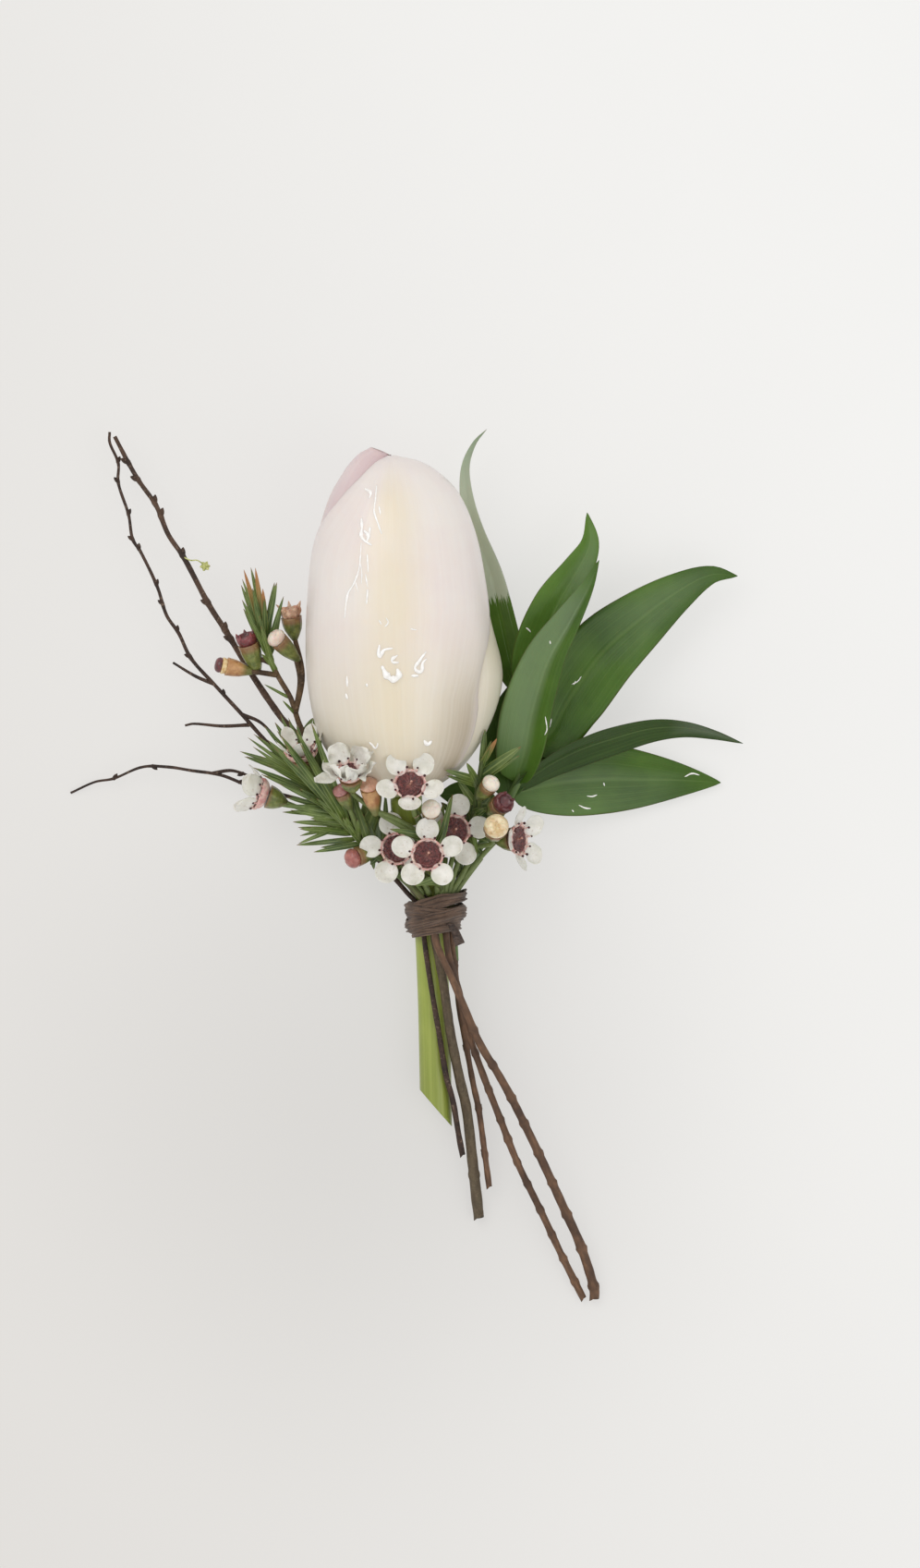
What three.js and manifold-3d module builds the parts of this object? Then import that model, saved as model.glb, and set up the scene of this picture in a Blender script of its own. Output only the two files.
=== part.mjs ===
// A hand-tied boutonniere: one tulip bud, a sprig of ruscus leaves, two bare twigs and three
// sprigs of waxflower, bound at the neck with a few turns of crinkled ribbon.
// Millimetres. It lies on its back: +Z is up from the surface, +Y runs from the stem ends to the
// tip of the tulip, and the origin is the middle of the footprint on the surface.

import * as THREE from "three";
import { mergeVertices } from "three/addons/utils/BufferGeometryUtils.js";
import Module from "manifold-3d";

const wasm = await Module();
wasm.setup();

// Driving dimensions
const CLEARANCE = 0.3; // left between pieces that press on each other
const BLADE_THICKNESS = 0.65; // leaves and tulip tepals

const UP = new THREE.Vector3(0, 0, 1);
const ALONG = new THREE.Vector3(0, 1, 0);
const point = (xyz) => new THREE.Vector3(...xyz);
const route = (points) => new THREE.CatmullRomCurve3(points.map(point), false, "centripetal");

// Solids: a closed geometry becomes a solid that can be joined and cut

function dropFlatTriangles(geometry) {
  const kept = [];
  const index = geometry.index.array;
  for (let i = 0; i < index.length; i += 3) {
    const [a, b, c] = [index[i], index[i + 1], index[i + 2]];
    if (a !== b && b !== c && c !== a) kept.push(a, b, c);
  }
  geometry.setIndex(kept);
}

function signedVolume(geometry) {
  const place = geometry.attributes.position;
  const index = geometry.index.array;
  const [a, b, c] = [new THREE.Vector3(), new THREE.Vector3(), new THREE.Vector3()];
  let sum = 0;
  for (let i = 0; i < index.length; i += 3) {
    a.fromBufferAttribute(place, index[i]);
    b.fromBufferAttribute(place, index[i + 1]);
    c.fromBufferAttribute(place, index[i + 2]);
    sum += a.dot(b.cross(c));
  }
  return sum / 6;
}

function solid(source) {
  const bare = source.clone();
  bare.deleteAttribute("normal");
  bare.deleteAttribute("uv");
  const geometry = mergeVertices(bare, 1e-4);
  dropFlatTriangles(geometry);
  const triangles = Uint32Array.from(geometry.index.array);
  if (signedVolume(geometry) < 0) triangles.reverse();
  return new wasm.Manifold(
    new wasm.Mesh({
      numProp: 3,
      vertProperties: Float32Array.from(geometry.attributes.position.array),
      triVerts: triangles,
    }),
  );
}

// Joined solids, with any hollow that the join seals filled. All of them have to hold together
function fuse(solids) {
  const shells = solids.reduce((whole, piece) => whole.add(piece)).decompose();
  const outer = shells.filter((shell) => shell.volume() > 0);
  if (outer.length !== 1) {
    const spots = outer.map((shell) => JSON.stringify(shell.boundingBox()));
    throw new Error(`${outer.length} loose solids: ${spots.join(" ")}`);
  }
  return outer[0];
}

function geometryOf(body) {
  const mesh = body.getMesh();
  const geometry = new THREE.BufferGeometry();
  geometry.setAttribute("position", new THREE.BufferAttribute(mesh.vertProperties, 3));
  geometry.setIndex(new THREE.BufferAttribute(mesh.triVerts, 1));
  geometry.computeVertexNormals();
  return geometry;
}

const boutonniere = new THREE.Group();

function addPiece(name, body, material) {
  const piece = new THREE.Mesh(geometryOf(body), material);
  piece.name = name;
  boutonniere.add(piece);
}

// Shapes that every plant here is made of

function reshape(geometry, move) {
  const place = geometry.attributes.position;
  const spot = new THREE.Vector3();
  for (let i = 0; i < place.count; i += 1) {
    spot.fromBufferAttribute(place, i);
    move(spot);
    place.setXYZ(i, spot.x, spot.y, spot.z);
  }
  return geometry;
}

// A round stem along a curve, whose radius follows the share of the length that is run
function stemSolid(curve, radiusAt, sides, steps) {
  const frames = curve.computeFrenetFrames(steps, false);
  const round = new THREE.CylinderGeometry(1, 1, 1, sides, steps);
  return solid(
    reshape(round, (spot) => {
      const run = spot.y + 0.5;
      const ring = Math.round(run * steps);
      const radius = radiusAt(run);
      const [across, upward] = [spot.x * radius, -spot.z * radius];
      spot.copy(curve.getPointAt(run));
      spot.addScaledVector(frames.normals[ring], across);
      spot.addScaledVector(frames.binormals[ring], upward);
    }),
  );
}

const taper = (from, to) => (run) => from + (to - from) * run;

// A solid of revolution about its own Y, moved to a point and turned to face along an axis
function turned(profile, sides, centre, axis) {
  const points = profile.map(([radius, height]) => new THREE.Vector2(radius, height));
  const geometry = new THREE.LatheGeometry(points, sides);
  geometry.applyQuaternion(new THREE.Quaternion().setFromUnitVectors(ALONG, axis));
  geometry.translate(centre.x, centre.y, centre.z);
  return solid(geometry);
}

// A thin blade with both faces split into triangles alike. surface(across, along) gives the point
// on its middle and the direction of its thickness, for across -1..1 and along 0..1
function bladeSolid(surface, acrossSteps, alongSteps, thickness) {
  const places = [];
  const index = [];
  const columns = acrossSteps + 1;
  const side = columns * (alongSteps + 1);
  for (const offset of [0.5, -0.5]) {
    for (let j = 0; j <= alongSteps; j += 1) {
      for (let i = 0; i <= acrossSteps; i += 1) {
        const { middle, normal } = surface((2 * i) / acrossSteps - 1, j / alongSteps);
        const corner = middle.clone().addScaledVector(normal, offset * thickness);
        places.push(corner.x, corner.y, corner.z);
      }
    }
  }
  const quad = (a, b, c, d) => index.push(a, b, c, a, c, d);
  for (let j = 0; j < alongSteps; j += 1) {
    for (let i = 0; i < acrossSteps; i += 1) {
      const corner = j * columns + i;
      const ring = [corner, corner + 1, corner + columns + 1, corner + columns];
      quad(...ring);
      index.push(side + ring[0], side + ring[2], side + ring[1]);
      index.push(side + ring[0], side + ring[3], side + ring[2]);
    }
  }
  for (let i = 0; i < acrossSteps; i += 1) {
    const far = alongSteps * columns + i;
    quad(i + 1, i, side + i, side + i + 1);
    quad(far, far + 1, side + far + 1, side + far);
  }
  for (let j = 0; j < alongSteps; j += 1) {
    const left = j * columns;
    const right = left + acrossSteps;
    quad(left, left + columns, side + left + columns, side + left);
    quad(right + columns, right, side + right, side + right + columns);
  }
  const geometry = new THREE.BufferGeometry();
  geometry.setAttribute("position", new THREE.Float32BufferAttribute(places, 3));
  geometry.setIndex(index);
  return solid(geometry);
}

// Materials

const finish = (color, roughness) =>
  new THREE.MeshStandardMaterial({ color, roughness, metalness: 0 });
const TEPAL_CREAM = finish(0xe9e0d2, 0.35);
const STEM_GREEN = finish(0x9cae4e, 0.5);
const RUSCUS_GREEN = finish(0x3c6b30, 0.35);
const BARK_DARK = finish(0x3c2a26, 0.8);
const BARK_BROWN = finish(0x4d3a30, 0.8);
const NEEDLE_GREEN = finish(0x4c6a35, 0.55);
const PETAL_WHITE = finish(0xece9e0, 0.4);
const CUP_MAROON = finish(0x5b2229, 0.35);
const BUD_PINK = finish(0xb46a66, 0.35);
const BUD_PEACH = finish(0xd9a184, 0.35);
const BUD_AMBER = finish(0xd2b070, 0.4);
const WITHERED_BEIGE = finish(0xbfa48c, 0.8);
const RIBBON_BROWN = finish(0x6d564c, 0.75);

// Tulip bud: three outer and three inner tepals closed round a smaller core

const BUD_BASE = point([0, 12.3, 12.9]);
const BUD_TIP = point([-2.6, 71.7, 19.6]);
const BUD_AXIS = BUD_TIP.clone().sub(BUD_BASE).normalize();
const BUD_LENGTH = BUD_TIP.distanceTo(BUD_BASE);
const BUD_RIGHT = BUD_AXIS.clone().cross(UP).normalize();
const BUD_UP = BUD_RIGHT.clone().cross(BUD_AXIS);
const CORE_INSET = 3;
const INNER_INSET = 1.35;
const RESTING_FLAT = [40, 60, 8]; // the block that flattens the belly where it rests

// Share of the bud's length, and the radius over its outer tepals there
const BUD_OUTLINE = new THREE.SplineCurve(
  [
    [0, 3.2],
    [0.025, 6.4],
    [0.08, 10.9],
    [0.18, 14.6],
    [0.32, 16.1],
    [0.46, 16.3],
    [0.62, 15.6],
    [0.76, 14.2],
    [0.88, 11.5],
    [0.95, 7.8],
    [0.985, 4.4],
    [1, 1.6],
  ].map(([share, radius]) => new THREE.Vector2(share, radius)),
);

// facing: where the tepal's midrib lies round the bud, in degrees from straight up towards +X;
// bulge: how far its lower part swells; flare: how far its tip stands off from the others
const TEPALS = [
  { facing: -8, inset: 0, halfWidth: 1.36, tip: 1, bulge: 0, flare: 0 },
  { facing: 112, inset: 0.8, halfWidth: 0.92, tip: 0.93, bulge: 2.3, flare: 0 },
  { facing: -124, inset: 0.4, halfWidth: 0.94, tip: 1.01, bulge: 0.4, flare: 5.2 },
  { facing: 58, inset: INNER_INSET, halfWidth: 0.85, tip: 0.97, bulge: 0, flare: 0 },
  { facing: -66, inset: INNER_INSET, halfWidth: 0.85, tip: 0.99, bulge: 0, flare: 0 },
  { facing: 178, inset: INNER_INSET, halfWidth: 0.85, tip: 0.97, bulge: 0, flare: 0 },
];

function budPoint(share, radius, angle) {
  return BUD_BASE.clone()
    .addScaledVector(BUD_AXIS, share * BUD_LENGTH)
    .addScaledVector(BUD_RIGHT, radius * Math.sin(angle))
    .addScaledVector(BUD_UP, radius * Math.cos(angle));
}

function tepalSolid({ facing, inset, halfWidth, tip, bulge, flare }) {
  const middleAngle = THREE.MathUtils.degToRad(facing);
  const surface = (across, along) => {
    const outline = BUD_OUTLINE.getPoint(along);
    const narrowing = Math.sqrt(Math.max(0, 1 - Math.pow(along, 6)));
    const spread = halfWidth * (0.45 + 0.55 * Math.sin(Math.PI * Math.pow(along, 0.6))) * narrowing;
    const angle = middleAngle + across * Math.max(spread, 0.12);
    const low = Math.exp(-(((outline.x - 0.3) / 0.18) ** 2));
    const swell = bulge * low * (1 - across * across) + flare * Math.pow(outline.x, 5);
    const radius = outline.y - inset - BLADE_THICKNESS / 2 + swell;
    const middle = budPoint(outline.x * tip, Math.max(radius, 0.9), angle);
    const axisPoint = budPoint(outline.x * tip, 0, 0);
    return { middle, normal: middle.clone().sub(axisPoint).normalize() };
  };
  return bladeSolid(surface, inset < 1 ? 6 : 4, 7, BLADE_THICKNESS);
}

function tulipBud() {
  const coreShares = [0, 0.08, 0.22, 0.4, 0.6, 0.78, 0.9];
  const coreProfile = coreShares.map((share) => {
    const outline = BUD_OUTLINE.getPoint(share);
    return [Math.max(outline.y - CORE_INSET, 1.2), outline.x * BUD_LENGTH];
  });
  const core = turned(
    [[0, 0], ...coreProfile, [0, 0.955 * BUD_LENGTH]],
    12,
    BUD_BASE,
    BUD_AXIS,
  );
  const bud = fuse([core, ...TEPALS.map(tepalSolid)]);
  const below = new THREE.BoxGeometry(...RESTING_FLAT);
  below.translate(0, BUD_BASE.y + BUD_LENGTH / 2, -RESTING_FLAT[2] / 2);
  return bud.subtract(solid(below));
}

addPiece("tulip_bud", tulipBud(), TEPAL_CREAM);

// Tulip stem, cut on a slant at its lower end

const TULIP_STEM_RADIUS = 2.75;
const TULIP_STEM_CUT = point([4.7, -41.6, 4.2]);
const TULIP_STEM_ROUTE = route([
  [5.2, -50, 3.7],
  [5, -36, 4.5],
  [4.6, -20, 5.5],
  [3.9, -8, 6.5],
  [2.6, 0, 8.6],
  [1.2, 7, 11],
  BUD_BASE.clone().addScaledVector(BUD_AXIS, -2.5).toArray(),
  BUD_BASE.clone().addScaledVector(BUD_AXIS, -CLEARANCE).toArray(),
]);

function tulipStem() {
  const whole = stemSolid(TULIP_STEM_ROUTE, () => TULIP_STEM_RADIUS, 10, 12);
  const waste = new THREE.BoxGeometry(30, 20, 30);
  waste.translate(0, -10, 0);
  waste.rotateZ(THREE.MathUtils.degToRad(-49));
  waste.translate(TULIP_STEM_CUT.x, TULIP_STEM_CUT.y, TULIP_STEM_CUT.z);
  return whole.subtract(solid(waste));
}

addPiece("tulip_stem", tulipStem(), STEM_GREEN);

// Ruscus: one green stem with seven leaves, fused at their stalks

const RUSCUS_STEM_RADIUS = 0.7;
const RUSCUS_STEM_ROUTE = route([
  [8.3, -16.5, 4.4],
  [8.1, -13, 5],
  [7.4, -8, 5.9],
  [9, -3, 6.3],
  [12.5, 3, 7.2],
  [16, 8.5, 8],
  [19, 14, 8.8],
  [21, 20, 9.4],
  [21, 26, 9.6],
  [20, 31, 9.4],
]);

// Each leaf runs along its midrib from its stalk to its tip. left and right are the widest half
// widths, lean turns the blade about its midrib in degrees, fold lifts its sides, and a lower
// taper brings the widest place nearer to the stalk
const RUSCUS_LEAVES = [
  {
    midrib: [[20, 31, 9.4], [18.6, 34, 8], [17.2, 39.5, 6.6], [14.8, 49.9, 6.2], [12, 57.9, 6.8],
      [10.6, 63.5, 7.6], [10.3, 69, 8.6], [11.8, 73.1, 9.6], [13.9, 75.5, 10.4]],
    left: 3, right: 3.2, lean: -38, fold: 0.15, taper: 0.42,
  },
  {
    midrib: [[19, 14.5, 9], [20.4, 20, 11.4], [21.8, 27, 13.2], [24.6, 35.7, 14.2], [28.1, 42, 14.2],
      [31.4, 48, 13.6], [33.3, 52.8, 12.8]],
    left: 5, right: 3.4, lean: -12, fold: 0.35, taper: 0.72,
  },
  {
    midrib: [[20.6, 29, 9.5], [22.4, 36, 9.8], [26, 45, 10.3], [29.8, 51.5, 10.3], [31.8, 56, 10],
      [31.3, 61.1, 9.4]],
    left: 3.8, right: 3.8, lean: 0, fold: 0.15, taper: 0.62,
  },
  {
    midrib: [[21, 20.5, 9.4], [24.6, 22.5, 9.3], [28, 28.5, 9], [33.6, 36.5, 8.6], [40.4, 42.6, 8.2],
      [47.2, 47.6, 7.6], [52.8, 50.4, 7], [57.4, 50.2, 6.2]],
    left: 5.8, right: 5.8, lean: 4, fold: 0.12, taper: 0.65,
  },
  {
    midrib: [[18.4, 13, 8.7], [24, 16.8, 9.4], [29.6, 19.6, 9.4], [36, 22, 8.8], [42.4, 23.6, 7.8],
      [48, 23.8, 6.4], [53.6, 22.7, 4.8], [58.4, 21.2, 3.4]],
    left: 2.7, right: 3, lean: 48, fold: 0.1, taper: 0.75,
  },
  {
    midrib: [[18.2, 12.4, 8.6], [25.6, 14.2, 5.6], [32.8, 14.9, 3.4], [40, 14.9, 2.3], [47.2, 14.8, 1.7],
      [54.6, 14.4, 1.2]],
    left: 5.9, right: 5.5, lean: 9, fold: 0.1, taper: 0.7,
  },
  {
    midrib: [[17.8, 11.8, 8.4], [17.6, 18, 7.2], [18.6, 26, 6.6], [20.4, 34, 6]],
    left: 4.4, right: 4.6, lean: 0, fold: 0.1, taper: 0.75,
  },
];

// A lance-shaped leaf: a narrow stalk, widest before the middle and drawn out to a point
function lanceWidth(along, taper) {
  const body = Math.pow(Math.sin(Math.PI * Math.pow(along, taper)), 0.85);
  return Number.isNaN(body) ? 0 : body;
}

function leafSolid({ midrib, left, right, lean, fold, taper: lanceTaper }) {
  const curve = route(midrib);
  const turn = THREE.MathUtils.degToRad(lean);
  const surface = (across, along) => {
    const tangent = curve.getTangentAt(along);
    const sideways = tangent.clone().cross(UP).normalize().applyAxisAngle(tangent, turn);
    const normal = sideways.clone().cross(tangent);
    const half = (across < 0 ? left : right) * lanceWidth(along, lanceTaper) + (along < 0.5 ? 0.7 : 0.25);
    const middle = curve.getPointAt(along);
    middle.addScaledVector(sideways, across * half);
    middle.addScaledVector(normal, fold * Math.abs(across) * half);
    middle.z = Math.max(middle.z, BLADE_THICKNESS / 2);
    return { middle, normal };
  };
  return bladeSolid(surface, 4, 8, BLADE_THICKNESS);
}

function ruscusSprig() {
  const stem = stemSolid(RUSCUS_STEM_ROUTE, taper(0.75, RUSCUS_STEM_RADIUS), 6, 15);
  return fuse([stem, ...RUSCUS_LEAVES.map(leafSolid)]);
}

addPiece("ruscus_sprig", ruscusSprig(), RUSCUS_GREEN);

// Bare twigs: a main shoot, side shoots, and small scaly buds at the nodes

const THICK_TWIG = {
  main: [[-50.6, 74.4, 5.5], [-48.2, 69.8, 5.6], [-46.4, 66.7, 5.7], [-43.4, 62.4, 5.8], [-41.3, 57.4, 5.9],
    [-38.6, 53.4, 6], [-34.3, 45.3, 6.1], [-30.9, 40, 6.2], [-26.7, 33, 6.6], [-21.8, 25.8, 7.4],
    [-20, 23.8, 7.7], [-12.8, 13.5, 8.7], [-5.5, 4.5, 10.1], [-2.3, 0.5, 10.8], [0.9, -3.5, 11.1],
    [4.8, -8, 10.5], [4.9, -12, 10.2], [6.3, -19.7, 9.4], [7.7, -29.3, 8.1], [9.3, -37.3, 6.4],
    [10.4, -42.1, 5.3], [11.5, -51.7, 3.4], [12.6, -61.6, 1.5]],
  radii: [0.42, 0.95],
  shoots: [],
  buds: [[-48.2, 69.8, -1], [-46.6, 66.9, -1], [-43.6, 62.9, 1], [-42.7, 60.6, 1], [-38.7, 53.9, 1],
    [-34.6, 45.6, -1], [-31.4, 40.8, 1], [-30.6, 39.2, -1], [12, -53.6, 1]],
};
const THIN_TWIG = {
  main: [[-51.5, 75.2, 4.6], [-51.5, 73.4, 4.7], [-50, 69.8, 4.9], [-50, 66.4, 5], [-48.2, 60.8, 5.1],
    [-47.5, 56.6, 5.2], [-46.1, 54.4, 5.3], [-43.2, 48.3, 5.4], [-41.6, 43.4, 5.6], [-39.5, 40.3, 5.8],
    [-37.4, 36, 6], [-33.4, 31.5, 6.3], [-28.5, 26.2, 6.8], [-24.2, 21.4, 7.2], [-19.7, 16.8, 7.5],
    [-12, 9, 8.2], [-4.4, 0.5, 8.8], [0, -4.5, 9.2], [2.9, -8, 9.9], [3, -11.7, 9.9],
    [4.1, -19.7, 9.2], [5.7, -29.3, 8.5], [6.9, -36.5, 7.7], [8, -40.5, 6.8], [9.1, -46.9, 5.6],
    [9.8, -50.6, 4.9]],
  radii: [0.36, 0.52],
  shoots: [
    [[-12, 9, 8.2], [-17, 11, 6.4], [-22, 12.4, 5], [-27.5, 13.9, 4.2], [-32.2, 15.7, 4],
      [-37.4, 16.5, 3.7], [-41.3, 17.1, 3.3], [-45.9, 17.1, 2.7], [-50.9, 15.1, 1.9], [-54.2, 14.5, 1.2],
      [-58.4, 12.6, 0.32]],
    [[-33.6, 16, 4], [-30.6, 16.5, 4.5], [-28.2, 15.9, 4.8], [-26.6, 15.2, 5.2]],
    [[-27.2, 24.4, 7], [-31.9, 24.2, 6.4], [-36.9, 24.6, 5.8], [-38.4, 24.3, 5.7]],
    [[-33.4, 31.5, 6.3], [-36.5, 32.8, 5.8], [-40.5, 35.2, 5.4]],
    [[-28.5, 26.2, 6.8], [-25.4, 24.9, 7.4], [-22.8, 22.4, 7.4]],
  ],
  buds: [[-50, 70, 1], [-50, 66.5, -1], [-48.2, 61, 1], [-47.5, 56.4, -1], [-46.1, 55, 1],
    [-43.2, 49, 1], [-42.5, 45.2, -1], [-39.2, 41, 1], [-37.6, 36.2, -1], [-31.1, 29.9, 1],
    [-28.6, 15.6, -1], [-27, 14, -1], [-44, 17.2, 1], [-50.9, 15.3, -1]],
};
const SHOOT_RADII = [0.4, 0.28];
const TWIG_BUD_LENGTH = 1.7;

function nearestOn(curve, x, y) {
  const samples = curve.getSpacedPoints(400);
  const gap = (spot) => Math.hypot(spot.x - x, spot.y - y);
  const best = samples.reduce((found, spot, i) => (gap(spot) < gap(samples[found]) ? i : found), 0);
  return best / 400;
}

// A small pointed bud that leans along the shoot, on its left (-1) or its right (1)
function twigBud(curve, [x, y, side]) {
  const run = nearestOn(curve, x, y);
  const towardsTip = curve.getTangentAt(run).negate();
  const outward = towardsTip.clone().cross(UP).normalize().multiplyScalar(side);
  const lean = towardsTip.clone().addScaledVector(outward, 0.75).normalize();
  const seat = curve.getPointAt(run).addScaledVector(outward, 0.1);
  return turned([[0, -0.4], [0.46, 0.4], [0, TWIG_BUD_LENGTH]], 4, seat, lean);
}

function twigSolid({ main, radii, shoots, buds }) {
  const curves = [route(main), ...shoots.map(route)];
  const bodies = curves.map((curve, i) => {
    const [from, to] = i === 0 ? radii : SHOOT_RADII;
    return stemSolid(curve, taper(from, to), 5, Math.round(curve.getLength() / 4) + 3);
  });
  const scales = buds.map((bud) => {
    const nearest = curves.reduce((best, curve) => {
      const spot = curve.getPointAt(nearestOn(curve, bud[0], bud[1]));
      const gap = Math.hypot(spot.x - bud[0], spot.y - bud[1]);
      return gap < best.gap ? { gap, curve } : best;
    }, { gap: Infinity });
    return twigBud(nearest.curve, bud);
  });
  return fuse([...bodies, ...scales]);
}

addPiece("twig_thick", twigSolid(THICK_TWIG), BARK_BROWN);
addPiece("twig_thin", twigSolid(THIN_TWIG), BARK_DARK);

// Waxflower blooms: five round waxy petals on a shallow rim, with a dark nectar cup in it

const RIM_PROFILE = [[0, -1], [1.9, -1], [2.95, 0.4], [2.5, 0.5], [2.4, -0.4], [0, -0.45]];
const CUP_PROFILE = [[0, -0.15], [2.1, -0.1], [2.1, 0.3], [0, 0.15]];
const ROUND_SIDES = 8;
const PETAL = { reach: 4.35, long: 2.15, wide: 2, half: 0.42 };
const CALYX_DROP = 1 + CLEARANCE; // from a bloom's middle down to the top of its calyx
const CALYX_LENGTH = 3.4;

// turn: where the first petal points, in degrees round the bloom; cup: how far petals rise
const BLOOMS = [
  { name: "waxflower_1", centre: [0.7, 14, 27.6], faces: [0, 0.4, 0.92], turn: -90, cup: 24 },
  { name: "waxflower_2", centre: [3.7, 2, 21.6], faces: [-0.05, 0.15, 0.98], turn: 90, cup: 8 },
  { name: "waxflower_3", centre: [-1.6, 3, 16.4], faces: [-0.15, 0, 0.98], turn: 175, cup: 6 },
  { name: "waxflower_4", centre: [8.2, 6.1, 14.4], faces: [0.15, 0.1, 0.98], turn: 80, cup: 4 },
  { name: "waxflower_5", centre: [19.2, 4.6, 15.2], faces: [0.85, 0, 0.5], turn: 90, cup: 25 },
  { name: "waxflower_6", centre: [-9.6, 16, 27.4], faces: [-0.1, 0.68, 0.72], turn: -95, cup: 42 },
  { name: "waxflower_7", centre: [-25, 12.4, 12], faces: [-0.92, 0.32, 0.12], turn: 0, cup: 55 },
  { name: "waxflower_8", centre: [-18, 19.4, 18.6], faces: [-0.1, 0.88, 0.45], turn: 60, cup: 58 },
];

// A bloom's own axes: right is as near to +X as its facing lets it be
function bloomFrame({ centre, faces }) {
  const axis = point(faces).normalize();
  const hint = Math.abs(axis.x) > 0.8 ? ALONG : new THREE.Vector3(1, 0, 0);
  const right = hint.clone().addScaledVector(axis, -hint.dot(axis)).normalize();
  return { middle: point(centre), axis, right, ahead: axis.clone().cross(right) };
}

function petalSolid({ middle, axis, right, ahead }, angle, cup) {
  const rise = THREE.MathUtils.degToRad(cup);
  const outward = right.clone().multiplyScalar(Math.cos(angle)).addScaledVector(ahead, Math.sin(angle));
  const along = outward.clone().multiplyScalar(Math.cos(rise)).addScaledVector(axis, Math.sin(rise));
  const sideways = axis.clone().cross(outward);
  const normal = along.clone().cross(sideways);
  const rimEdge = middle.clone().addScaledVector(outward, PETAL.reach - PETAL.long);
  const disc = new THREE.SphereGeometry(1, 8, 3);
  return solid(
    reshape(disc, (spot) => {
      const [run, side, lift] = [spot.x, spot.z, spot.y];
      const hollow = 0.35 * (run * run + side * side);
      spot.copy(rimEdge).addScaledVector(along, (run + 1) * PETAL.long);
      spot.addScaledVector(sideways, side * PETAL.wide);
      spot.addScaledVector(normal, lift * PETAL.half + hollow);
    }),
  );
}

function bloomSolid(bloom) {
  const frame = bloomFrame(bloom);
  const rim = turned(RIM_PROFILE, ROUND_SIDES, frame.middle, frame.axis);
  const petals = [0, 1, 2, 3, 4].map((i) => {
    const angle = THREE.MathUtils.degToRad(bloom.turn + 72 * i);
    return petalSolid(frame, angle, bloom.cup);
  });
  return fuse([rim, ...petals]);
}

for (const bloom of BLOOMS) {
  const { middle, axis } = bloomFrame(bloom);
  addPiece(`${bloom.name}_petals`, bloomSolid(bloom), PETAL_WHITE);
  addPiece(`${bloom.name}_cup`, turned(CUP_PROFILE, ROUND_SIDES, middle, axis), CUP_MAROON);
}

// Waxflower buds and spent cups, each a rounded cap seated on its calyx

const CAP_PROFILE = [[0, -0.95], [1, -0.9], [1.6, 0.1], [1.1, 1.15], [0, 1.5]];
const CAP_DROP = 0.95 + CLEARANCE;
const BUDS = [
  { name: "bud_white_1", finish: PETAL_WHITE, size: 1.05,
    centre: [4.3, 9.8, 22.2], faces: [0.1, 0.3, 0.95] },
  { name: "bud_white_2", finish: PETAL_WHITE, size: 1,
    centre: [14.5, 14.1, 18], faces: [0.5, 0.6, 0.6] },
  { name: "bud_white_3", finish: PETAL_WHITE, size: 1.05,
    centre: [-22.3, 39.2, 13], faces: [-0.65, 0.65, 0.4] },
  { name: "bud_amber", finish: BUD_AMBER, size: 1.35,
    centre: [15.5, 6.8, 20.6], faces: [0.1, 0.3, 0.95] },
  { name: "bud_peach", finish: BUD_PEACH, size: 1.05,
    centre: [-6.4, 13.8, 22.4], faces: [-0.3, 0.75, 0.6] },
  { name: "bud_pink_1", finish: BUD_PINK, size: 0.9,
    centre: [-11.2, 12.9, 19.6], faces: [-0.4, 0.8, 0.45] },
  { name: "bud_pink_2", finish: BUD_PINK, size: 1.1,
    centre: [-9, 1.4, 15.4], faces: [-0.85, -0.3, 0.45] },
  { name: "bud_tawny", finish: BUD_PEACH, size: 1,
    centre: [-31.6, 34.6, 10.6], faces: [-0.97, 0.2, 0.15] },
  { name: "cup_spent_1", finish: CUP_MAROON, size: 1.2,
    centre: [-27.5, 38.9, 11.2], faces: [-0.3, 0.9, 0.3] },
  { name: "cup_spent_2", finish: CUP_MAROON, size: 1.2,
    centre: [16.6, 10.8, 17.4], faces: [0.5, 0.35, 0.8] },
  { name: "bloom_withered", finish: WITHERED_BEIGE, size: 1.15,
    centre: [-20, 43.6, 11], faces: [-0.15, 0.95, 0.25] },
];

// Calyx lengths for a size of 1
const BUD_CALYX = 2.9;
const LONG_CALYXES = { bud_white_3: 4.2, bud_tawny: 4, cup_spent_1: 4 };

const scaled = (profile, size) => profile.map(([radius, height]) => [radius * size, height * size]);

for (const bud of BUDS) {
  const axis = point(bud.faces).normalize();
  const cap = turned(scaled(CAP_PROFILE, bud.size), ROUND_SIDES, point(bud.centre), axis);
  addPiece(bud.name, cap, bud.finish);
}

// Waxflower sprigs: a woody stem through the binding, thin stalks that end in calyxes, needles

const STALK_RADII = [0.5, 0.42];
const NEEDLE_RADIUS = 0.55;

// The green funnel under a bloom or bud, with the stalk's end inside its foot
function calyxSolid(centre, faces, drop, topRadius, length) {
  const axis = point(faces).normalize();
  const top = point(centre).addScaledVector(axis, -drop);
  const profile = [[0, -length], [0.55, -length], [topRadius * 0.85, -length * 0.45], [topRadius, 0], [0, 0]];
  return turned(profile, 6, top, axis);
}

const calyxFoot = (centre, faces, drop, length) =>
  point(centre).addScaledVector(point(faces).normalize(), -drop - length * 0.8);

function bloomStalk(name, from) {
  const bloom = BLOOMS.find((entry) => entry.name === name);
  const foot = calyxFoot(bloom.centre, bloom.faces, CALYX_DROP, CALYX_LENGTH);
  return [
    calyxSolid(bloom.centre, bloom.faces, CALYX_DROP, 1.95, CALYX_LENGTH),
    stemSolid(route([...from, foot.toArray()]), taper(...STALK_RADII), 4, 2 + from.length),
  ];
}

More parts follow.
